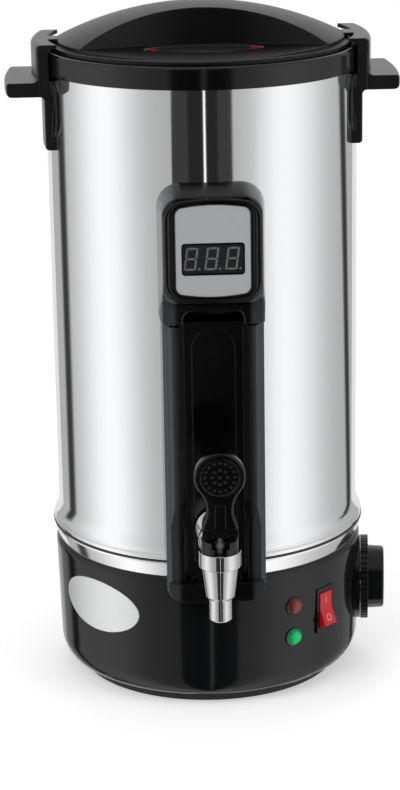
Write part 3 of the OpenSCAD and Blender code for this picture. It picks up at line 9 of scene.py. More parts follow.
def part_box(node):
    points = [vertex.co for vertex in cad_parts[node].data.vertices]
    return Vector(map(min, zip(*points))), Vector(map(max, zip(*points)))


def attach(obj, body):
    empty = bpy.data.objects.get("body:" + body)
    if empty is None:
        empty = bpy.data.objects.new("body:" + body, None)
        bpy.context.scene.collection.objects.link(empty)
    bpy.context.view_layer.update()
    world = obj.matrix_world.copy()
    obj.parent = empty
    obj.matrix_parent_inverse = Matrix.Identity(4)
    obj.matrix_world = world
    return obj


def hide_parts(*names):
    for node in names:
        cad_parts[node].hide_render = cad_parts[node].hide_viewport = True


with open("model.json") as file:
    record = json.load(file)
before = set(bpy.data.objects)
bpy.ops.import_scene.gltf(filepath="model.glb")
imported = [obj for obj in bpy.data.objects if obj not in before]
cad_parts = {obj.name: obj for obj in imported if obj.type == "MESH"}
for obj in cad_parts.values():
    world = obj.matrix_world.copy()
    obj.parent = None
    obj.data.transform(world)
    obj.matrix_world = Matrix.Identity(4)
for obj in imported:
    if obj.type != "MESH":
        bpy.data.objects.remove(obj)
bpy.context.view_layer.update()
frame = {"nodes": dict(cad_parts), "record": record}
nodes = frame["nodes"]
mm = 0.001
print("frame loaded:", len(nodes), "nodes")


class Wire:
    # a shader socket that can stand in a sum
    def __init__(self, shader, socket):
        self.shader, self.socket = shader, socket

    def maths(self, operation, a, b=0.0):
        return self.shader.node("Math", {"operation": operation}, {0: a, 1: b})

    def __add__(self, other):
        return self.maths("ADD", self, other)

    __radd__ = __add__

    def __sub__(self, other):
        return self.maths("SUBTRACT", self, other)

    def __rsub__(self, other):
        return self.maths("SUBTRACT", other, self)

    def __mul__(self, other):
        return self.maths("MULTIPLY", self, other)

    __rmul__ = __mul__

    def __truediv__(self, other):
        return self.maths("DIVIDE", self, other)

    def __pow__(self, other):
        return self.maths("POWER", self, other)

    def __gt__(self, other):
        return self.maths("GREATER_THAN", self, other)

    def __abs__(self):
        return self.maths("ABSOLUTE", self)


class Shader:
    def __init__(self, owner):
        owner.use_nodes = True
        self.owner, self.tree = owner, owner.node_tree
        self.tree.nodes.clear()

    def node(self, kind, settings=None, inputs=None, output=0):
        made = self.tree.nodes.new("ShaderNode" + kind)
        for key, value in (settings or {}).items():
            setattr(made, key, value)
        for key, value in (inputs or {}).items():
            socket = made.inputs[key]
            if isinstance(value, Wire):
                self.tree.links.new(value.socket, socket)
            elif socket.type == "RGBA":
                socket.default_value = (*value[:3], 1.0)
            else:
                socket.default_value = value
        return Wire(self, made.outputs[output]) if made.outputs else None

    def noise(self, scale, detail, stretch=(1, 1, 1)):
        place = self.node("TexCoord", output="Object")
        place = self.node("Mapping", {}, {"Vector": place, "Scale": stretch})
        return self.node("TexNoise", {}, {"Vector": place, "Scale": scale, "Detail": detail})

    def mix(self, amount, a, b):
        return self.node("Mix", {"data_type": "RGBA"}, {0: amount, 6: a, 7: b}, 2)

    def smoothStep(self, value, low, high, first=0.0, last=1.0):
        # goes smoothly from first to last while the value goes from low to high
        inputs = {0: value, 1: low, 2: high, 3: first, 4: last}
        return self.node("MapRange", {"interpolation_type": "SMOOTHSTEP"}, inputs)

    def bell(self, reach, power):
        # 1 in the middle and 0 far out; a greater power makes a sharper edge at a reach of 1
        return self.node("Math", {"operation": "EXPONENT"}, {0: 0.0 - reach ** power})

    def edge(self, radius):
        return self.node("Bevel", {"samples": 4}, {"Radius": radius})

    def bump(self, height, strength, depth, radius):
        inputs = {"Height": height, "Strength": strength, "Distance": depth, "Normal": self.edge(radius)}
        return self.node("Bump", {}, inputs)

    def surface(self, inputs):
        self.node("OutputMaterial", {}, {"Surface": self.node("BsdfPrincipled", {}, inputs)})
        return self.owner


def newShader(name):
    return Shader(bpy.data.materials.new(name))


view = {
    "place": (-0.07406, -1.54178, 0.64424),
    "turn": -2.606,  # degrees, as the two below
    "pitch": 16.632,
    "roll": -0.916,
    "lens": 109.75,  # mm
    "sensor": 36.0,  # mm, along the long side
    "clip": (0.05, 50.0),
}


def makeCamera():
    camera = bpy.data.objects.new("camera", bpy.data.cameras.new("camera"))
    bpy.context.scene.collection.objects.link(camera)
    camera.data.lens = view["lens"]
    camera.data.sensor_fit = "AUTO"
    camera.data.sensor_width = view["sensor"]
    camera.data.clip_start, camera.data.clip_end = view["clip"]
    turn = Matrix.Rotation(math.radians(view["turn"]), 4, "Z")
    pitch = Matrix.Rotation(math.radians(90 - view["pitch"]), 4, "X")
    roll = Matrix.Rotation(math.radians(view["roll"]), 4, "Z")
    camera.matrix_world = Matrix.Translation(view["place"]) @ turn @ pitch @ roll
    bpy.context.scene.camera = camera


makeCamera()
print("camera placed")

studio = {
    "frontAngle": -2.75,  # where the camera stands, degrees round from -Y towards +X
    "room": 0.44,  # level of the room between the boxes
    "leftBox": {"centre": -77, "inner": 27, "outer": 31, "level": 0.62},
    "rightBox": {"centre": 62, "inner": 23, "outer": 36, "level": 0.58},
    # dark boards: centre and half width in degrees, level, edge sharpness, lean with height
    "frontFlags": [
        {"centre": 0.0, "half": 22.2, "level": 0.045, "edge": 40, "lean": 0},
        {"centre": 0.6, "half": 11.0, "level": 0.020, "edge": 20, "lean": 0},
    ],
    "sideFlags": [
        {"centre": -128.3, "half": 6.4, "level": 0.045, "edge": 4, "lean": 0},
        {"centre": 111.2, "half": 5.4, "level": 0.045, "edge": 4, "lean": -94},
    ],
    "sideFade": (-0.18, 0.02),  # a ray's rise, from where the side flags start to fade to where they end
    "gap": {"centre": 1.9, "half": 0.85, "level": 1.1, "edge": 4},  # thin bright line in the front flags
    "behind": {"from": 150, "level": 0.35},
    "ceiling": {"from": 0.55, "to": 0.85, "level": 0.55},  # a ray's rise where it starts and is whole
    "fill": 0.5,  # strength of the world on matt surfaces
}


def makeWorld():
    world = bpy.data.worlds.new("studio")
    bpy.context.scene.world = world
    shader = Shader(world)
    ray = shader.node("TexCoord", output=0)  # the direction that the ray takes
    across, along, up = (shader.node("SeparateXYZ", {}, {0: ray}, i) for i in range(3))
    angle = across.maths("ARCTAN2", across, 0.0 - along) * math.degrees(1) - studio["frontAngle"]
    level = studio["room"]
    for box, inward in (("leftBox", 1), ("rightBox", -1)):
        box = studio[box]
        offset = (angle - box["centre"]) * inward
        width = (offset > 0.0) * (box["inner"] - box["outer"]) + box["outer"]
        level = level + shader.bell(offset / width, 2) * box["level"]
    behind = studio["behind"]
    level = level + (abs(angle) > behind["from"]) * behind["level"]
    for flag in studio["frontFlags"] + studio["sideFlags"]:
        reach = abs(angle - (up * flag["lean"] + flag["centre"])) / flag["half"]
        dark = shader.bell(reach, flag["edge"])
        if flag in studio["sideFlags"]:
            dark = dark * shader.smoothStep(up, *studio["sideFade"], 1.0, 0.0)
        level = level * (1.0 - dark) + dark * flag["level"]
    gap = studio["gap"]
    level = level + shader.bell(abs(angle - gap["centre"]) / gap["half"], gap["edge"]) * gap["level"]
    # overhead the boxes run together into one soft ceiling
    ceiling = studio["ceiling"]
    overhead = shader.smoothStep(up, ceiling["from"], ceiling["to"])
    level = level * (1.0 - overhead) + overhead * ceiling["level"]
    grey = shader.node("CombineColor", {}, {0: level, 1: level, 2: level})
    glossy = shader.node("Background", {}, {"Color": grey})
    white = shader.node("Background", {}, {"Color": (1, 1, 1), "Strength": 1.0})
    soft = shader.node("Background", {}, {"Color": (1, 1, 1), "Strength": studio["fill"]})
    kinds = ("Is Camera Ray", "Is Glossy Ray", "Is Transmission Ray")
    camera, mirrored, through = (shader.node("LightPath", output=kind) for kind in kinds)
    lit = shader.node("MixShader", {}, {0: mirrored, 1: soft, 2: glossy})
    seen = camera.maths("MAXIMUM", camera, through)
    shader.node("OutputWorld", {}, {"Surface": shader.node("MixShader", {}, {0: seen, 1: lit, 2: white})})


floor = {
    "size": 24.0,
    "colour": (0.90, 0.90, 0.90),
    "lift": 0.34,  # glow that only the camera sees
    "near": 0.35,  # from here out to far the floor turns white
    "far": 0.9,
}


def makeFloor():
    mesh = bmesh.new()
    bmesh.ops.create_grid(mesh, x_segments=1, y_segments=1, size=floor["size"] / 2)
    sheet = bpy.data.meshes.new("floor")
    mesh.to_mesh(sheet)
    mesh.free()
    ground = bpy.data.objects.new("floor", sheet)
    bpy.context.scene.collection.objects.link(ground)
    ground.visible_glossy = False
    shader = newShader("paleFloor")
    matt = shader.node("BsdfDiffuse", {}, {"Color": floor["colour"]})
    seen = shader.node("LightPath", output="Is Camera Ray")
    glow = shader.node("Emission", {}, {"Color": (1, 1, 1), "Strength": seen * floor["lift"]})
    near = shader.node("AddShader", {}, {0: matt, 1: glow})
    place = shader.node("TexCoord", output="Object")
    away = shader.node("VectorMath", {"operation": "LENGTH"}, {0: place}, "Value")
    fade = shader.smoothStep(away, floor["near"], floor["far"])
    white = shader.node("Emission", {}, {"Color": (1, 1, 1), "Strength": 1.0})
    whole = shader.node("MixShader", {}, {0: fade * seen, 1: near, 2: white})
    shader.node("OutputMaterial", {}, {"Surface": whole})
    sheet.materials.append(shader.owner)


lamps = {
    "key": {"place": (-1.4, -1.5, 1.7), "size": 1.2, "power": 22},
    "fill": {"place": (1.6, -1.2, 1.3), "size": 1.2, "power": 14},
    "back": {"place": (0.2, 1.5, 1.8), "size": 1.4, "power": 10},
}
lampAim = Vector((0, 0, 0.22))  # about the middle of the pot


def makeLamps():
    for name, lamp in lamps.items():
        data = bpy.data.lights.new(name, "AREA")
        data.energy, data.size = lamp["power"], lamp["size"]
        light = bpy.data.objects.new(name, data)
        bpy.context.scene.collection.objects.link(light)
        light.location = lamp["place"]
        light.rotation_mode = "QUATERNION"
        light.rotation_quaternion = (lampAim - light.location).to_track_quat("-Z", "Y")
        light.visible_glossy = False


makeWorld()
makeFloor()
makeLamps()
bpy.context.scene.view_settings.view_transform = "Standard"
print("studio lit")


def polishedSteel():
    shader = newShader("polishedSteel")
    smear = shader.noise(14.0, 4.0, (1, 1, 0.25))
    sheet = shader.noise(5.0, 1.0, (1, 1, 0.4))
    return shader.surface({
        "Base Color": (0.90, 0.905, 0.915),
        "Metallic": 1.0,
        "Roughness": smear * 0.05 + 0.015,
        "Normal": shader.bump(sheet, 0.2, 0.0004, 0.0004),
    })


def plainSteel():
    shader = newShader("plainSteel")
    lines = shader.noise(60.0, 5.0, (1, 1, 14))
    return shader.surface({
        "Base Color": shader.mix(lines, (0.50, 0.51, 0.52), (0.66, 0.67, 0.68)),
        "Metallic": 1.0,
        "Roughness": lines * 0.2 + 0.24,
        "Normal": shader.bump(lines, 0.12, 0.0002, 0.0003),
    })


def silverTrim():
    shader = newShader("silverTrim")
    lines = shader.noise(30.0, 4.0, (1, 1, 30))
    return shader.surface({
        "Base Color": (0.93, 0.93, 0.935),
        "Metallic": 1.0,
        "Roughness": lines * 0.04 + 0.06,
        "Normal": shader.bump(lines, 0.05, 0.0002, 0.0004),
    })


def tapChrome():
    shader = newShader("tapChrome")
    haze = shader.noise(180.0, 3.0)
    return shader.surface({
        "Base Color": (0.72, 0.72, 0.73),
        "Metallic": 1.0,
        "Roughness": haze * 0.04 + 0.02,
        "Normal": shader.bump(haze, 0.04, 0.0002, 0.0004),
    })


# painted sheen: between these distances from the middle the rails are painted paler, for the light they catch
railPaintedSheen = {"from": 0.0215, "to": 0.0255, "colour": (0.030, 0.032, 0.034)}  # distances from the middle


def blackPlastic(name, gloss, radius, grainDepth, tone, shine=0.45, rails=False):
    # moulded ABS: a deep black with a faint mottle, and edges rounded by the mould
    shader = newShader(name)
    haze = shader.noise(24.0, 4.0)
    grain = shader.noise(2200.0, 2.0)
    dark = [value * tone for value in (0.0030, 0.0033, 0.0036)]
    light = [value * tone for value in (0.0062, 0.0066, 0.0074)]
    colour = shader.mix(haze, dark, light)
    if rails:
        # painted sheen: the two rails beside the channel are painted paler than the channel, for the light
        # they catch
        across = abs(shader.node("SeparateXYZ", {}, {0: shader.node("TexCoord", output="Object")}))
        side = shader.smoothStep(across, railPaintedSheen["from"], railPaintedSheen["to"])
        colour = shader.mix(side, colour, railPaintedSheen["colour"])
    return shader.surface({
        "Base Color": colour,
        "Roughness": haze * 0.07 + gloss,
        "Specular IOR Level": shine,
        "Normal": shader.bump(grain, 0.25, grainDepth, radius),
    })


def plainFinish(name, dark, light, rough, metal=0.0, scale=120.0, strength=0.1):
    # for small and inner pieces: two tones of one colour, with a fine grain
    shader = newShader(name)
    grain = shader.noise(scale, 4.0)
    return shader.surface({
        "Base Color": shader.mix(grain, dark, light),
        "Metallic": metal,
        "Roughness": grain * 0.15 + rough,
        "Normal": shader.bump(grain, strength, 0.0002, 0.0003),
    })


def smokedPane():
    shader = newShader("smokedPane")
    haze = shader.noise(60.0, 3.0)
    return shader.surface({
        "Base Color": (0.012, 0.013, 0.015),
        "Roughness": haze * 0.06 + 0.08,
        "Alpha": haze * 0.04 + 0.32,
        "Normal": shader.bump(haze, 0.02, 0.0001, 0.0002),
    })


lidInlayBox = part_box("lid_inlay")
inlay = {
    "y": (lidInlayBox[0][1] + lidInlayBox[1][1]) / 2,
    "halfLength": (lidInlayBox[1][0] - lidInlayBox[0][0]) / 2,
    "halfDepth": (lidInlayBox[1][1] - lidInlayBox[0][1]) / 2,
    "lineFrom": 0.89,  # squared shares of the way from the middle to the rim
    "lineTo": 0.96,
    "markWithin": 0.87,
    "markFrom": 0.0295,  # metres from the middle
    "markTo": 0.0376,
}


def inlayPlate():
    # dark grey oval with a pale printed line near its edge, and a red mark at each end
    shader = newShader("inlayPlate")
    place = shader.node("TexCoord", output="Object")
    across, along = (shader.node("SeparateXYZ", {}, {0: place}, i) for i in range(2))
    far = (across / inlay["halfLength"]) ** 2 + ((along - inlay["y"]) / inlay["halfDepth"]) ** 2
    line = (far > inlay["lineFrom"]) * (1.0 - (far > inlay["lineTo"]))
    aside = abs(across)
    mark = (aside > inlay["markFrom"]) * (1.0 - (aside > inlay["markTo"]))
    mark = mark * (1.0 - (far > inlay["markWithin"]))
    grain = shader.noise(700.0, 3.0)
    ground = shader.mix(grain, (0.012, 0.0125, 0.013), (0.020, 0.0205, 0.022))
    colour = shader.mix(mark, shader.mix(line, ground, (0.20, 0.205, 0.21)), (0.22, 0.012, 0.010))
    return shader.surface({
        "Base Color": colour,
        "Roughness": grain * 0.1 + 0.3,
        "Normal": shader.bump(grain, 0.08, 0.0001, 0.0004),
    })


def badgeSteel():
    shader = newShader("badgeSteel")
    lines = shader.noise(40.0, 5.0, (1, 1, 24))
    return shader.surface({
        "Base Color": shader.mix(lines, (0.80, 0.805, 0.81), (0.90, 0.905, 0.91)),
        "Metallic": 0.85,
        "Roughness": lines * 0.12 + 0.36,
        "Normal": shader.bump(lines, 0.06, 0.0002, 0.0004),
    })


# painted highlight and shade on the lamp lenses: radii of the painted bright middle and of the painted dark
# rim
lens = {
    "angle": 30,  # of the lamps, in degrees round the base from the front
    "middle": 0.0028,  # radius of the bright middle, metres
    "rim": 0.0062,  # where it is darkest
    "ring": 0.0059,  # where the black ring starts
    "wobble": 0.0006,
}


def lampLens(node, rim, middle):
    # a clear dome with a painted highlight in its middle, painted shade darkening it towards its rim, and a
    # black ring round it
    shader = newShader("lens_" + node)
    low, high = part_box(node)
    centre = (0.0, 0.0, (low[2] + high[2]) / 2)
    place = shader.node("TexCoord", output="Object")
    place = shader.node("VectorMath", {"operation": "SUBTRACT"}, {0: place, 1: centre})
    turn = math.radians(lens["angle"])
    axis = (math.sin(turn), -math.cos(turn), 0.0)
    off = shader.node("VectorMath", {"operation": "CROSS_PRODUCT"}, {0: place, 1: axis})
    far = shader.node("VectorMath", {"operation": "LENGTH"}, {0: off}, "Value")
    grain = shader.noise(260.0, 2.0)
    # painted shade: this mask runs from the painted highlight in the middle out to the painted dark rim
    outer = shader.smoothStep(far + grain * lens["wobble"], lens["middle"], lens["rim"])
    paintedHighlightAndShade = shader.mix(outer, middle, rim)
    return shader.surface({
        "Base Color": shader.mix(far > lens["ring"], paintedHighlightAndShade, (0.003, 0.003, 0.003)),
        "Roughness": grain * 0.05 + 0.07,
        "Normal": shader.bump(grain, 0.02, 0.0001, 0.0004),
    })


finishes = {
    "polished_steel": polishedSteel(),
    "plain_steel": plainSteel(),
    "silver_trim": silverTrim(),
    "tap_chrome": tapChrome(),
    "gloss_black": blackPlastic("glossBlack", 0.06, 0.0006, 0.000006, 0.9, 0.4),
    "satin_black": blackPlastic("satinBlack", 0.22, 0.0012, 0.00006, 0.8),
    "foot_rubber": plainFinish("footRubber", (0.010, 0.010, 0.011), (0.018, 0.018, 0.019), 0.65, scale=400.0),
    "label_grey": plainFinish(
        "labelGrey", (0.34, 0.35, 0.36), (0.37, 0.38, 0.39), 0.38, scale=900.0, strength=0.03
    ),
    "display_pane": smokedPane(),
    "digit_grey": plainFinish("digitGrey", (0.62, 0.62, 0.60), (0.72, 0.72, 0.70), 0.35, scale=500.0),
    "board_green": plainFinish("boardGreen", (0.02, 0.12, 0.04), (0.03, 0.17, 0.06), 0.4),
    "lead_red": plainFinish("leadRed", (0.25, 0.015, 0.012), (0.34, 0.02, 0.018), 0.45),
    "silicone": plainFinish("siliconePale", (0.52, 0.51, 0.48), (0.62, 0.61, 0.58), 0.5),
    "rocker_red": plainFinish(
        "rockerRed", (0.52, 0.008, 0.012), (0.60, 0.012, 0.016), 0.16, scale=60.0, strength=0.02
    ),
    "pale_plastic": plainFinish("paleNylon", (0.62, 0.61, 0.56), (0.72, 0.71, 0.66), 0.45),
    "contact_brass": plainFinish("contactBrass", (0.60, 0.42, 0.14), (0.72, 0.54, 0.22), 0.28, 1.0),
    "copper_tube": plainFinish("copperTube", (0.62, 0.28, 0.16), (0.76, 0.38, 0.24), 0.3, 1.0),
    "cast_aluminium": plainFinish(
        "castAluminium", (0.50, 0.50, 0.50), (0.62, 0.62, 0.62), 0.42, 1.0, 260.0, 0.3
    ),
    "element_steel": plainFinish("elementSteel", (0.14, 0.10, 0.07), (0.24, 0.19, 0.15), 0.38, 1.0),
    "heat_ceramic": plainFinish("heatCeramic", (0.48, 0.44, 0.35), (0.58, 0.54, 0.44), 0.6),
}
ownFinishes = {  # nodes whose look differs from the rest of their slot
    "lid_inlay": inlayPlate(),
    "badge_plate": badgeSteel(),
    "valve_stem": plainFinish("stemSteel", (0.42, 0.42, 0.43), (0.54, 0.54, 0.55), 0.25, 0.4),
    "collar_ring": blackPlastic("collarBlack", 0.10, 0.0010, 0.00001, 0.35, 0.5),
    "display_bezel": blackPlastic("bezelBlack", 0.08, 0.0006, 0.000006, 0.25, 0.4),
    "led_module": plainFinish("moduleGrey", (0.040, 0.042, 0.045), (0.055, 0.057, 0.060), 0.5, scale=900.0),
    # painted highlight and shade: for each lens, the colour of its painted dark rim, then of its painted
    # bright middle
    "red_lamp": lampLens("red_lamp", (0.07, 0.008, 0.005), (0.21, 0.035, 0.028)),
    "green_lamp": lampLens("green_lamp", (0.0, 0.16, 0.05), (0.0, 0.56, 0.14)),
    "lid": blackPlastic("lidBlack", 0.30, 0.0016, 0.00008, 0.5, 0.26),
    "left_handle": blackPlastic("handleBlack", 0.26, 0.0010, 0.00006, 1.2),
    # this finish paints a sheen on the rails, and on the display hood, which shares it
    "front_housing": blackPlastic("housingBlack", 0.10, 0.0008, 0.00001, 0.25, rails=True),
    "tap_lever": blackPlastic("leverBlack", 0.12, 0.0005, 0.00002, 0.15, 0.4),
}
ownFinishes["right_handle"] = ownFinishes["left_handle"]
ownFinishes["display_hood"] = ownFinishes["front_housing"]
ownFinishes["tap_bonnet"] = ownFinishes["tap_lever"]
slots = {part["node"]: part["material_slot"] for part in frame["record"]["subparts"]}


def finishOf(node):
    return ownFinishes.get(node) or finishes[slots[node]]


for node in slots:
    mesh = nodes[node].data
    mesh.materials.clear()
    mesh.materials.append(finishOf(node))
print("finishes given to", len(slots), "nodes")


def finished(name, mesh, node, body, material=None, hides=True, sharp=38):
    # turns a bmesh into a piece that rides on a CAD body and takes the finish of a CAD node
    bmesh.ops.recalc_face_normals(mesh, faces=mesh.faces)
    data = bpy.data.meshes.new(name)
    mesh.to_mesh(data)
    mesh.free()
    data.polygons.foreach_set("use_smooth", [True] * len(data.polygons))
    data.set_sharp_from_angle(angle=math.radians(sharp))
    data.materials.append(material or finishOf(node))
    piece = bpy.data.objects.new(name, data)
    bpy.context.scene.collection.objects.link(piece)
    # flat faces keep their own shading beside rounded edges
    normals = piece.modifiers.new("normals", "WEIGHTED_NORMAL")
    normals.keep_sharp = True
    normals.weight = 80  # above the neutral 50, so large faces count for more
    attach(piece, body)
    if hides:
        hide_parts(node)
    return piece


def flatFace(mesh, points, radii, segments=7):
    # a face seen from the front, from its corners; each corner is rounded by its own radius
    before = set(mesh.faces)
    verts = [mesh.verts.new((x * mm, 0.0, z * mm)) for x, z in points]
    mesh.faces.new(verts)
    for vert, radius in zip(verts, radii):
        if radius > 0:
            bmesh.ops.bevel(
                mesh, geom=[vert], offset=radius * mm, offset_type="OFFSET", segments=segments, profile=0.5,
                affect="VERTICES", material=-1,
            )
    return next(face for face in mesh.faces if face not in before)


def moved(mesh, face, by):
    # draws a face out into a block and gives its far face
    made = bmesh.ops.extrude_face_region(mesh, geom=[face])["geom"]
    verts = [item for item in made if isinstance(item, bmesh.types.BMVert)]
    bmesh.ops.translate(mesh, vec=Vector(by) * mm, verts=verts)
    return next(item for item in made if isinstance(item, bmesh.types.BMFace))


def rounded(mesh, edges, radius, segments):
    # an edge that is given twice counts once
    bmesh.ops.bevel(
        mesh, geom=list(dict.fromkeys(edges)), offset=radius * mm, offset_type="OFFSET", segments=segments,
        profile=0.5, affect="EDGES", material=-1, clamp_overlap=True,
    )


def box(mesh, low, high, edge):
    # a block with rounded edges, from its lowest and highest corners in mm
    low, high = Vector(low) * mm, Vector(high) * mm
    size = Matrix.Diagonal((*(high - low), 1))
    verts = bmesh.ops.create_cube(mesh, size=1, matrix=Matrix.Translation((low + high) / 2) @ size)["verts"]
    rounded(mesh, [item for vert in verts for item in vert.link_edges], edge, 2)


def circlePoints(radius, height, steps):
    turns = [2 * math.pi * i / steps for i in range(steps)]
    return [(radius * math.cos(turn), radius * math.sin(turn), height) for turn in turns]


def outline(width, top, low, radii, arch=0.0, arc=7, straight=8):
    # points round an upright shape with rounded corners; its top and low sides can bow outwards
    half, middle = width / 2, (top + low) / 2
    points = []
    corners = [  # side, end, radius and first angle of each
        (1, low, radii[1], -90),
        (1, top, radii[0], 0),
        (-1, top, radii[0], 90),
        (-1, low, radii[1], 180),
    ]
    for i, (side, end, radius, start) in enumerate(corners):
        centre = (side * (half - radius), end + (radius if end == low else -radius))
        for step in range(arc + 1):
            turn = math.radians(start + 90 * step / arc)
            points.append((centre[0] + radius * math.cos(turn), centre[1] + radius * math.sin(turn)))
        _, nextEnd, nextRadius, _ = corners[(i + 1) % 4]
        reach = nextRadius if nextEnd == low else -nextRadius
        ahead = {
            0: (half, nextEnd + reach),
            1: (nextRadius - half, top),
            2: (-half, nextEnd + reach),
            3: (half - nextRadius, low),
        }[i]
        last = points[-1]
        for step in range(1, straight):
            share = step / straight
            points.append((last[0] + (ahead[0] - last[0]) * share, last[1] + (ahead[1] - last[1]) * share))
    return [(x, z - math.copysign(arch * (x / half) ** 2, z - middle)) for x, z in points]


def rolled(mesh, rings, closed=False):
    # a grid rolled round the outline, one row of it for each ring of points
    count, rows = len(rings[0]), len(rings) - (not closed)
    made = bmesh.ops.create_grid(mesh, x_segments=count, y_segments=rows, size=0.5)["verts"]
    for vert in made:
        column, row = round((vert.co.x + 0.5) * count) % count, round((vert.co.y + 0.5) * rows)
        vert.co = Vector(rings[row % len(rings)][column]) * mm
    bmesh.ops.remove_doubles(mesh, verts=made, dist=0.001 * mm)


def fronted(width, top, low, radii, depth, flat=1.0, arch=0.0):
    # an outline laid before the shell, and curved with it where flat is under 1
    shell = display["shell"]
    points = outline(width, top, low, radii, arch)
    return [(x, -(shell + depth - (1 - flat) * (shell - math.sqrt(shell**2 - x**2))), z) for x, z in points]


display = {
    "shell": 100.1,  # radius of the steel shell, mm
    "middle": 310.0,  # height of the bezel's middle
    "hoodLoops": [  # width, top, low, radii of the corners, depth before the shell, flatness
        (66.6, 348.0, 262.0, (15, 3), 0.0, 0.0),
        (66.6, 347.8, 262.0, (15, 3), 2.4, 0.0),
        (66.0, 347.0, 266.0, (14.6, 4), 6.0, 0.15),
        (64.6, 345.6, 271.0, (13.8, 6), 11.0, 0.45),
        (63.0, 344.2, 274.5, (12.8, 8), 15.0, 0.75),
        (61.8, 343.2, 276.5, (11.8, 9.5), 17.6, 0.95),
        (60.8, 342.6, 277.4, (11.0, 10.5), 18.7, 1.0),
        (59.0, 341.8, 278.4, (10.0, 10.0), 18.9, 1.0),
    ],
    "bezelLoops": [  # width, height, corner radius, arch, distance of the face from the axis
        (58.6, 63.4, 9.6, 3.0, 118.7),
        (60.0, 65.0, 10.0, 3.0, 119.2),
        (60.0, 65.0, 10.0, 3.0, 120.3),
        (59.5, 64.5, 9.8, 3.0, 121.2),
        (58.3, 63.5, 9.3, 2.9, 121.8),
        (56.4, 62.2, 8.5, 2.8, 122.0),
        (54.2, 61.2, 7.7, 2.7, 121.8),
        (52.6, 60.6, 7.1, 2.6, 121.2),
        (51.9, 60.2, 6.8, 2.6, 120.7),
        (51.1, 59.8, 6.5, 2.6, 120.7),
        (50.5, 59.5, 6.3, 2.5, 121.2),
        (49.3, 59.0, 5.8, 2.5, 121.5),
        (47.3, 58.0, 5.0, 2.4, 121.5),
        (46.1, 57.4, 4.4, 2.4, 121.2),
        (45.7, 57.2, 4.2, 2.4, 120.7),
        (45.7, 57.2, 4.2, 2.4, 119.3),
    ],
    "chin": [
        (-31.8, 262), (-18.5, 262), (-18.5, 270.5), (18.5, 270.5),
        (18.5, 262), (31.8, 262), (31.8, 283), (-31.8, 283),
    ],
    "chinRadii": (2.0, 1.8, 5, 5, 1.8, 2.0, 7, 7),
    "chinBack": 95.0,
    "chinFace": 115.0,
    "chinEdge": 1.5,
    "window": (38.6, 20.0, 305.0, 2.2),  # width, height, middle, corner radius
    "windowLoops": [  # how far in from the window's rim, distance of the face from the axis
        (0, 120.7),
        (0, 120.95),
        (0.2, 121.05),
        (0.9, 121.05),
        (1.1, 120.95),
        (1.1, 120.7),
    ],
    "windowCorner": 0.5,  # least corner radius
}


def capped(mesh):
    # closes every open end
    bmesh.ops.holes_fill(mesh, edges=[edge for edge in mesh.edges if edge.is_boundary], sides=0)


def displayHood():
    mesh = bmesh.new()
    rolled(mesh, [fronted(*loop) for loop in display["hoodLoops"]])
    capped(mesh)
    return finished("display_hood_shell", mesh, "display_hood", "vessel", sharp=50)


def slab(name, node, points, radii, back, front, edge, clear=None):
    # an upright plate with rounded corners and a rounded front edge
    mesh = bmesh.new()
    face = flatFace(mesh, points, radii)
    bmesh.ops.translate(mesh, vec=(0, -back * mm, 0), verts=mesh.verts)
    face = moved(mesh, face, (0, back - front, 0))
    edges = face.edges
    if clear is not None:
        edges = [item for item in edges if min(vert.co.z for vert in item.verts) < clear * mm]
    rounded(mesh, edges, edge, 4)
    return finished(name, mesh, node, "vessel", hides=False, sharp=50)


def displayChin():
    # the block under the bezel, with the top end of the channel cut into it
    depth = (display["chinBack"], display["chinFace"])
    slab("display_chin", "display_hood", display["chin"], display["chinRadii"], *depth, display["chinEdge"])


housing = {
    "lip": [(-30.8, 79.6), (30.8, 79.6), (30.8, 92.0), (-30.8, 92.0)],
    "radii": (11.4, 11.4, 0.5, 0.5),
    "back": 98.0,  # mm before the axis, as the face
    "face": 114.1,
    "edge": 1.5,
    "clear": 91.5,  # its top edge stays sharp, to meet the rails
}


def housingLip():
    # closes the lower end of the channel, level with the rails
    depth = (housing["back"], housing["face"])
    edge = (housing["edge"], housing["clear"])
    slab("front_housing_lip", "front_housing", housing["lip"], housing["radii"], *depth, *edge)


def displayBezel():
    mesh = bmesh.new()
    rings = []
    for width, height, radius, arch, face in display["bezelLoops"]:
        top, low = display["middle"] + height / 2, display["middle"] - height / 2
        rings.append(fronted(width, top, low, (radius, radius), face - display["shell"], 1.0, arch))
    rolled(mesh, rings, closed=True)
    return finished("display_bezel_frame", mesh, "display_bezel", "vessel", sharp=60)


def windowFrame():
    mesh = bmesh.new()
    wide, high, middle, radius = display["window"]
    rings = []
    for shrink, face in display["windowLoops"]:
        corner = max(radius - shrink, display["windowCorner"])
        top, low = middle + high / 2 - shrink, middle - high / 2 + shrink
        points = outline(wide - 2 * shrink, top, low, (corner, corner))
        rings.append([(x, -face, z) for x, z in points])
    rolled(mesh, rings, closed=True)
    return finished("display_window_frame", mesh, "display_bezel", "vessel", hides=False, sharp=50)


displayHood()
displayChin()
displayBezel()
windowFrame()
housingLip()
print("display made")

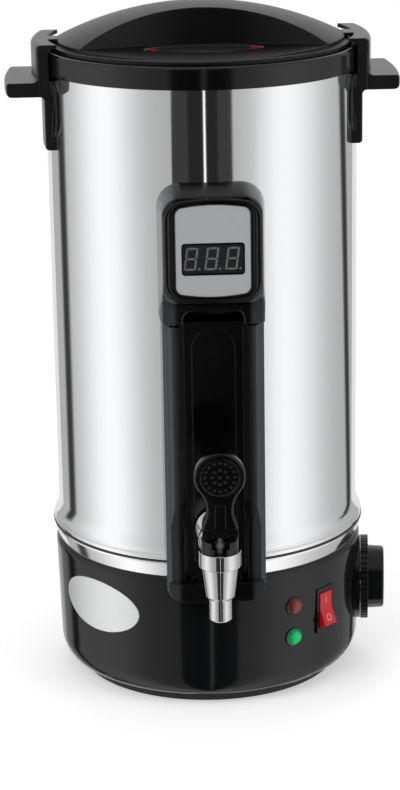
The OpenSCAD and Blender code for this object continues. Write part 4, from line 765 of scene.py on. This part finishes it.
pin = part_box("lever_pivot_pin")
lever = {
    "pivot": Vector((0, (pin[0][1] + pin[1][1]) / 2, (pin[0][2] + pin[1][2]) / 2)),
    "lean": 5,  # degrees
    "front": 4.0,  # face before the pivot, mm
    "thick": 7.0,
    "low": 3.3,  # where the full thickness starts, above the pivot
    "foot": 11.15,  # half widths
    "waist": 8.2,
    "waistUp": 15.6,
    "paddle": 15.8,
    "paddleUp": 38.8,
    "join": -40,  # degrees round the paddle where the neck meets it
    "neckSteps": 6,
    "paddleSteps": 20,
    "edge": 1.9,
    "backEdge": 0.9,
    "dishRadius": 12.3,
    "dishDepth": 1.1,
    "dishSteps": ((0.15, 0.985), (0.5, 0.975), (0.35, 0.96)),  # share of the depth and scale of each
    "dots": ((0, 1), (4.7, 8), (9.5, 16)),  # radius of each row and how many it has
    "dotRadius": 1.05,
    "dotFlat": 0.85,
    "mark": {
        "half": 3.2, "low": 5.2, "high": 20.6, "corner": 0.7, "steps": 3,
        "sunk": 0.4, "thick": 1.1, "edge": 0.3,
    },
    "skin": {  # over the bonnet's ears
        "half": 11.1, "low": -1.6, "high": 4, "corner": 0.6, "steps": 2,
        "sunk": 0.75, "thick": 0.7, "edge": 0.25,
    },
    "discs": ((3.3, 3.6), (9.85, 1.9)),  # middle and width of those between and outside the ears
    "discRadius": 4.1,
    "discEdge": 0.4,
    "prong": (3.6, 8.5, 6.0),  # width, depth and height of the block behind each inner disc
    "prongEdge": 0.5,
    "manyCorners": 8,  # the faces of the blade's roundings have no more
}


def leverSide():
    # half widths up the lever: foot, waist, then round the paddle
    foot, waist, low, waistUp = (lever[name] for name in ("foot", "waist", "low", "waistUp"))
    paddle, paddleUp = lever["paddle"], lever["paddleUp"]
    side = []
    for i in range(lever["neckSteps"] + 1):
        t = i / lever["neckSteps"]
        side.append((foot + (waist - foot) * t * t * (3 - 2 * t), low + (waistUp - low) * t))
    join = math.radians(lever["join"])
    joinX, joinUp = paddle * math.cos(join), paddleUp + paddle * math.sin(join)
    rise, slope = joinX - waist, -math.tan(join) * (joinUp - waistUp)
    for i in range(1, lever["neckSteps"] + 1):
        t = i / lever["neckSteps"]
        out = waist + (3 * rise - slope) * t * t + (slope - 2 * rise) * t**3
        side.append((out, waistUp + (joinUp - waistUp) * t))
    for i in range(1, lever["paddleSteps"]):
        turn = join + (math.pi / 2 - join) * i / lever["paddleSteps"]
        side.append((paddle * math.cos(turn), paddleUp + paddle * math.sin(turn)))
    return side


def largeFaces(mesh):
    return [face for face in mesh.faces if len(face.verts) > lever["manyCorners"]]


def frontFace(mesh):
    return min(largeFaces(mesh), key=lambda face: face.calc_center_median().y)


def leverBlade(mesh):
    side = leverSide()
    points = side + [(0, lever["paddleUp"] + lever["paddle"])] + [(-x, z) for x, z in reversed(side)]
    back = flatFace(mesh, points, [0] * len(points))
    bmesh.ops.translate(mesh, vec=(0, (lever["thick"] - lever["front"]) * mm, 0), verts=mesh.verts)
    front = moved(mesh, back, (0, -lever["thick"], 0))
    rear = [face for face in largeFaces(mesh) if face is not front]
    rounded(mesh, [edge for face in rear for edge in face.edges], lever["backEdge"], 2)
    rounded(mesh, frontFace(mesh).edges, lever["edge"], 5)


def leverDish(mesh):
    # the dish is a round hole in the front face, drawn back and closed
    front = frontFace(mesh)
    edges = list(front.edges)
    bmesh.ops.delete(mesh, geom=[front], context="FACES_ONLY")
    centre = Vector((0, -lever["front"], lever["paddleUp"])) * mm
    turn = Matrix.Translation(centre) @ Matrix.Rotation(math.pi / 2, 4, "X")
    radius = lever["dishRadius"] * mm
    circle = bmesh.ops.create_circle(mesh, cap_ends=False, segments=56, radius=radius, matrix=turn)["verts"]
    lip = list(dict.fromkeys(edge for vert in circle for edge in vert.link_edges))
    bmesh.ops.triangle_fill(mesh, use_beauty=True, edges=edges + lip, normal=(0, -1, 0))
    for share, shrink in lever["dishSteps"]:
        made = bmesh.ops.extrude_edge_only(mesh, edges=lip)["geom"]
        ring = [item for item in made if isinstance(item, bmesh.types.BMVert)]
        bmesh.ops.translate(mesh, vec=(0, share * lever["dishDepth"] * mm, 0), verts=ring)
        bmesh.ops.scale(mesh, vec=(shrink, 1, shrink), space=Matrix.Translation(-centre), verts=ring)
        lip = [item for item in made if isinstance(item, bmesh.types.BMEdge)]
    bmesh.ops.contextual_create(mesh, geom=lip)


def leverDots(mesh):
    size = lever["dotRadius"] * mm
    depth = lever["dishDepth"] - lever["front"]
    for radius, count in lever["dots"]:
        for x, z, _ in circlePoints(radius, 0, count):
            place = Matrix.Translation(Vector((x, depth, lever["paddleUp"] + z)) * mm)
            squashed = place @ Matrix.Diagonal((1, lever["dotFlat"], 1, 1))
            bmesh.ops.create_uvsphere(mesh, u_segments=10, v_segments=6, radius=size, matrix=squashed)


def leverPlate(mesh, plate):
    # a thin plate on the blade's front face
    half, low, high = plate["half"], plate["low"], plate["high"]
    corners = [(-half, low), (half, low), (half, high), (-half, high)]
    face = flatFace(mesh, corners, [plate["corner"]] * 4, plate["steps"])
    bmesh.ops.translate(mesh, vec=(0, -(lever["front"] - plate["sunk"]) * mm, 0), verts=face.verts)
    rounded(mesh, moved(mesh, face, (0, -plate["thick"], 0)).edges, plate["edge"], 2)


def leverFoot(mesh):
    # round discs on the pivot, and a prong on each inner one
    radius = lever["discRadius"] * mm
    for middle, width in lever["discs"]:
        for sign in (-1, 1):
            place = Matrix.Translation(lever["pivot"] + Vector((sign * middle * mm, 0, 0)))
            place = place @ Matrix.Rotation(math.pi / 2, 4, "Y")
            verts = bmesh.ops.create_cone(
                mesh, cap_ends=True, segments=36, radius1=radius, radius2=radius,
                depth=width * mm, matrix=place,
            )["verts"]
            edges = [edge for vert in verts for edge in vert.link_edges]
            ends = [edge for edge in edges if abs(edge.verts[0].co.x - edge.verts[1].co.x) < 0.01 * mm]
            rounded(mesh, ends, lever["discEdge"], 2)
    half = Vector(lever["prong"]) / 2
    for sign in (-1, 1):
        middle = lever["pivot"] / mm + Vector((sign * lever["discs"][0][0], half.y, 0))
        box(mesh, middle - half, middle + half, lever["prongEdge"])


def tapLever():
    mesh = bmesh.new()
    leverBlade(mesh)
    leverDish(mesh)
    leverDots(mesh)
    leverPlate(mesh, lever["mark"])
    leverPlate(mesh, lever["skin"])
    lean = Matrix.Translation(lever["pivot"]) @ Matrix.Rotation(math.radians(lever["lean"]), 4, "X")
    bmesh.ops.transform(mesh, matrix=lean, verts=mesh.verts)
    leverFoot(mesh)
    return finished("tap_lever_paddle", mesh, "tap_lever", "lever", sharp=42)


tapLever()
print("lever made")

handle = {
    "half": 35.0,  # half its width along Y
    "stations": (0, 8, 16, 24, 30, 33.8, 34.1, 34.6, 34.9, 35.0),
    "bow": 150.0,  # radius of its outer faces seen from above
    "corner": 1.2,  # rounding of its ends
    "inner": (  # distance from the axis, height, and 1 where the face keeps round the lid's rim
        (92, 357.8, 0),
        (92, 401.8, 0),
        (103.2, 401.8, 1),
        (103.2, 421.9, 1),
        (98.2, 421.9, 1),
        (98.2, 424.4, 1),
    ),
    "arcSteps": 5,
    "arcs": (  # centre, radius, first and last angle of each outer corner, and its share of the bow
        (105.6, 421.4, 3, 90, 0, 1.0),
        (111.6, 403.8, 3, 180, 270, 1.0),
        (124.1, 398.8, 2, 90, 0, 0.5),
        (123.1, 394.8, 3, 0, -90, 0.5),
        (105.7, 388.8, 3, 90, 180, 0.55),
        (100.7, 359.8, 2, 0, -90, 0.55),
    ),
    "cheek": ((99.5, -34.9, 391.8), (103.4, 34.9, 415.7), 0.5),  # corners of a block, and its edges' radius
    "tooth": ((91.1, -8.0, 421.95), (99.0, 8.0, 424.3), 0.4),
    "pad": (83.0, 403.3, 363.8, (14, 14)),  # width, top, low, radii of the corners
    "padRings": ((0, 98.0), (0, 101.4), (0.25, 101.9), (0.8, 102.2)),  # how far in, radius of the face
}


def sideHandle(node, turn):
    profile = []
    for x, z, radius, first, last, share in handle["arcs"]:
        for i in range(handle["arcSteps"] + 1):
            angle = math.radians(first + (last - first) * i / handle["arcSteps"])
            profile.append((x + radius * math.cos(angle), z + radius * math.sin(angle), share))
    stations = [-y for y in reversed(handle["stations"][1:])] + list(handle["stations"])
    rings = []
    for y in stations:
        past = max(abs(y) - handle["half"] + handle["corner"], 0)
        roundIn = handle["corner"] - math.sqrt(max(handle["corner"] ** 2 - past**2, 0))
        inward = y * y / (2 * handle["bow"]) + roundIn
        # the inner faces keep round the lid's rim, the outer ones have a weaker bow
        inner = [(math.sqrt(x * x - y * y) if keeps else x, y, z) for x, z, keeps in handle["inner"]]
        rings.append(inner + [(x - share * inward, y, z) for x, z, share in profile])
    mesh = bmesh.new()
    rolled(mesh, rings)
    wide, top, low, radii = handle["pad"]
    rings = []
    for shrink, radius in handle["padRings"]:
        points = outline(wide - 2 * shrink, top - shrink, low + shrink, [corner - shrink for corner in radii])
        rings.append([(math.sqrt(radius**2 - y**2), y, z) for y, z in points])
    rolled(mesh, rings)
    capped(mesh)
    box(mesh, *handle["cheek"])
    box(mesh, *handle["tooth"])
    bmesh.ops.rotate(mesh, cent=(0, 0, 0), matrix=Matrix.Rotation(turn, 3, "Z"), verts=mesh.verts)
    return finished(node + "_grip", mesh, node, "vessel", sharp=50)


sideHandle("right_handle", 0)
sideHandle("left_handle", math.pi)
print("handles made")

trimGap = {
    "inner": 103.2,
    "outer": 104.0,
    "low": 102.0,
    "high": 102.6,
    "steps": 180,
    # painted shade: the ring's dark colour stands in for the shade in the groove
    "grey": plainFinish("gapPaintedShade", (0.030, 0.031, 0.033), (0.05, 0.051, 0.053), 0.4, scale=300.0),
}


def paintedBandShade():
    # painted shade: a dark ring that stands in for the shade in the groove between the trim band and the
    # shell above it
    mesh = bmesh.new()
    inner, outer, low, high = (trimGap[name] for name in ("inner", "outer", "low", "high"))
    section = ((inner, low), (outer, low), (outer, high), (inner, high))
    rolled(mesh, [circlePoints(radius, height, trimGap["steps"]) for radius, height in section], closed=True)
    return finished("trim_band_gap", mesh, "trim_band", "vessel", trimGap["grey"], hides=False)


def roundedEdges(node, width, angle=40, segments=3):
    # the CAD mesh stays as it is; modifiers merge its triangles and round its edges
    weld = nodes[node].modifiers.new("weld", "WELD")
    weld.merge_threshold = 0.01 * mm
    edges = nodes[node].modifiers.new("edges", "BEVEL")
    edges.width, edges.segments, edges.limit_method = width * mm, segments, "ANGLE"
    edges.angle_limit = math.radians(angle)
    edges.harden_normals = True


paintedBandShade()
roundedEdges("front_housing", 1.2)
print("trim band and housing done")

rocker = {
    "angle": 45.2,  # degrees round the base
    "axis": (0.0, -100.04, 56.0),  # middle of the pivot before the turn, mm
    "rise": 3.4,  # face before the pivot
    "tilt": 12.0,  # of each half of the face
    "restTilt": -12.0,
    "up": 6.2,  # of each mark from the middle
    "proud": 0.12,
    "bar": (0.75, 4.2),  # width and height
    "ring": (2.3, 1.65),  # outer and inner radius
    "ringSteps": 36,
    "pink": plainFinish("markPink", (0.60, 0.30, 0.30), (0.66, 0.36, 0.36), 0.35, scale=500.0),
}


def rockerPlace(up):
    # a place on one half of the rocker's face, at rest
    side = math.copysign(rocker["tilt"], up)
    turn = Matrix.Rotation(math.radians(rocker["angle"]), 4, "Z")
    pivot = Matrix.Translation(Vector(rocker["axis"]) * mm) @ Matrix.Rotation(math.pi / 2, 4, "X")
    rest = Matrix.Rotation(math.radians(rocker["restTilt"]), 4, "X")
    rise = rocker["rise"] + abs(up) * math.tan(math.radians(abs(side)))
    face = Matrix.Translation(Vector((0, up, rise)) * mm) @ Matrix.Rotation(math.radians(side), 4, "X")
    return turn @ pivot @ rest @ face


def rockerMarks():
    mesh = bmesh.new()
    wide, high = rocker["bar"]
    bar = Matrix.Diagonal((wide * mm, high * mm, 2 * rocker["proud"] * mm, 1))
    bmesh.ops.create_cube(mesh, size=1, matrix=rockerPlace(rocker["up"]) @ bar)
    place = rockerPlace(-rocker["up"])
    outer, inner = rocker["ring"]
    rings = []
    for radius, level in ((outer, -1), (outer, 1), (inner, 1), (inner, -1)):
        points = circlePoints(radius, level * rocker["proud"], rocker["ringSteps"])
        rings.append([place @ (Vector(point) * mm) / mm for point in points])
    rolled(mesh, rings, closed=True)
    return finished("rocker_marks", mesh, "rocker", "rocker", rocker["pink"], hides=False)


rockerMarks()
print("rocker marks made")
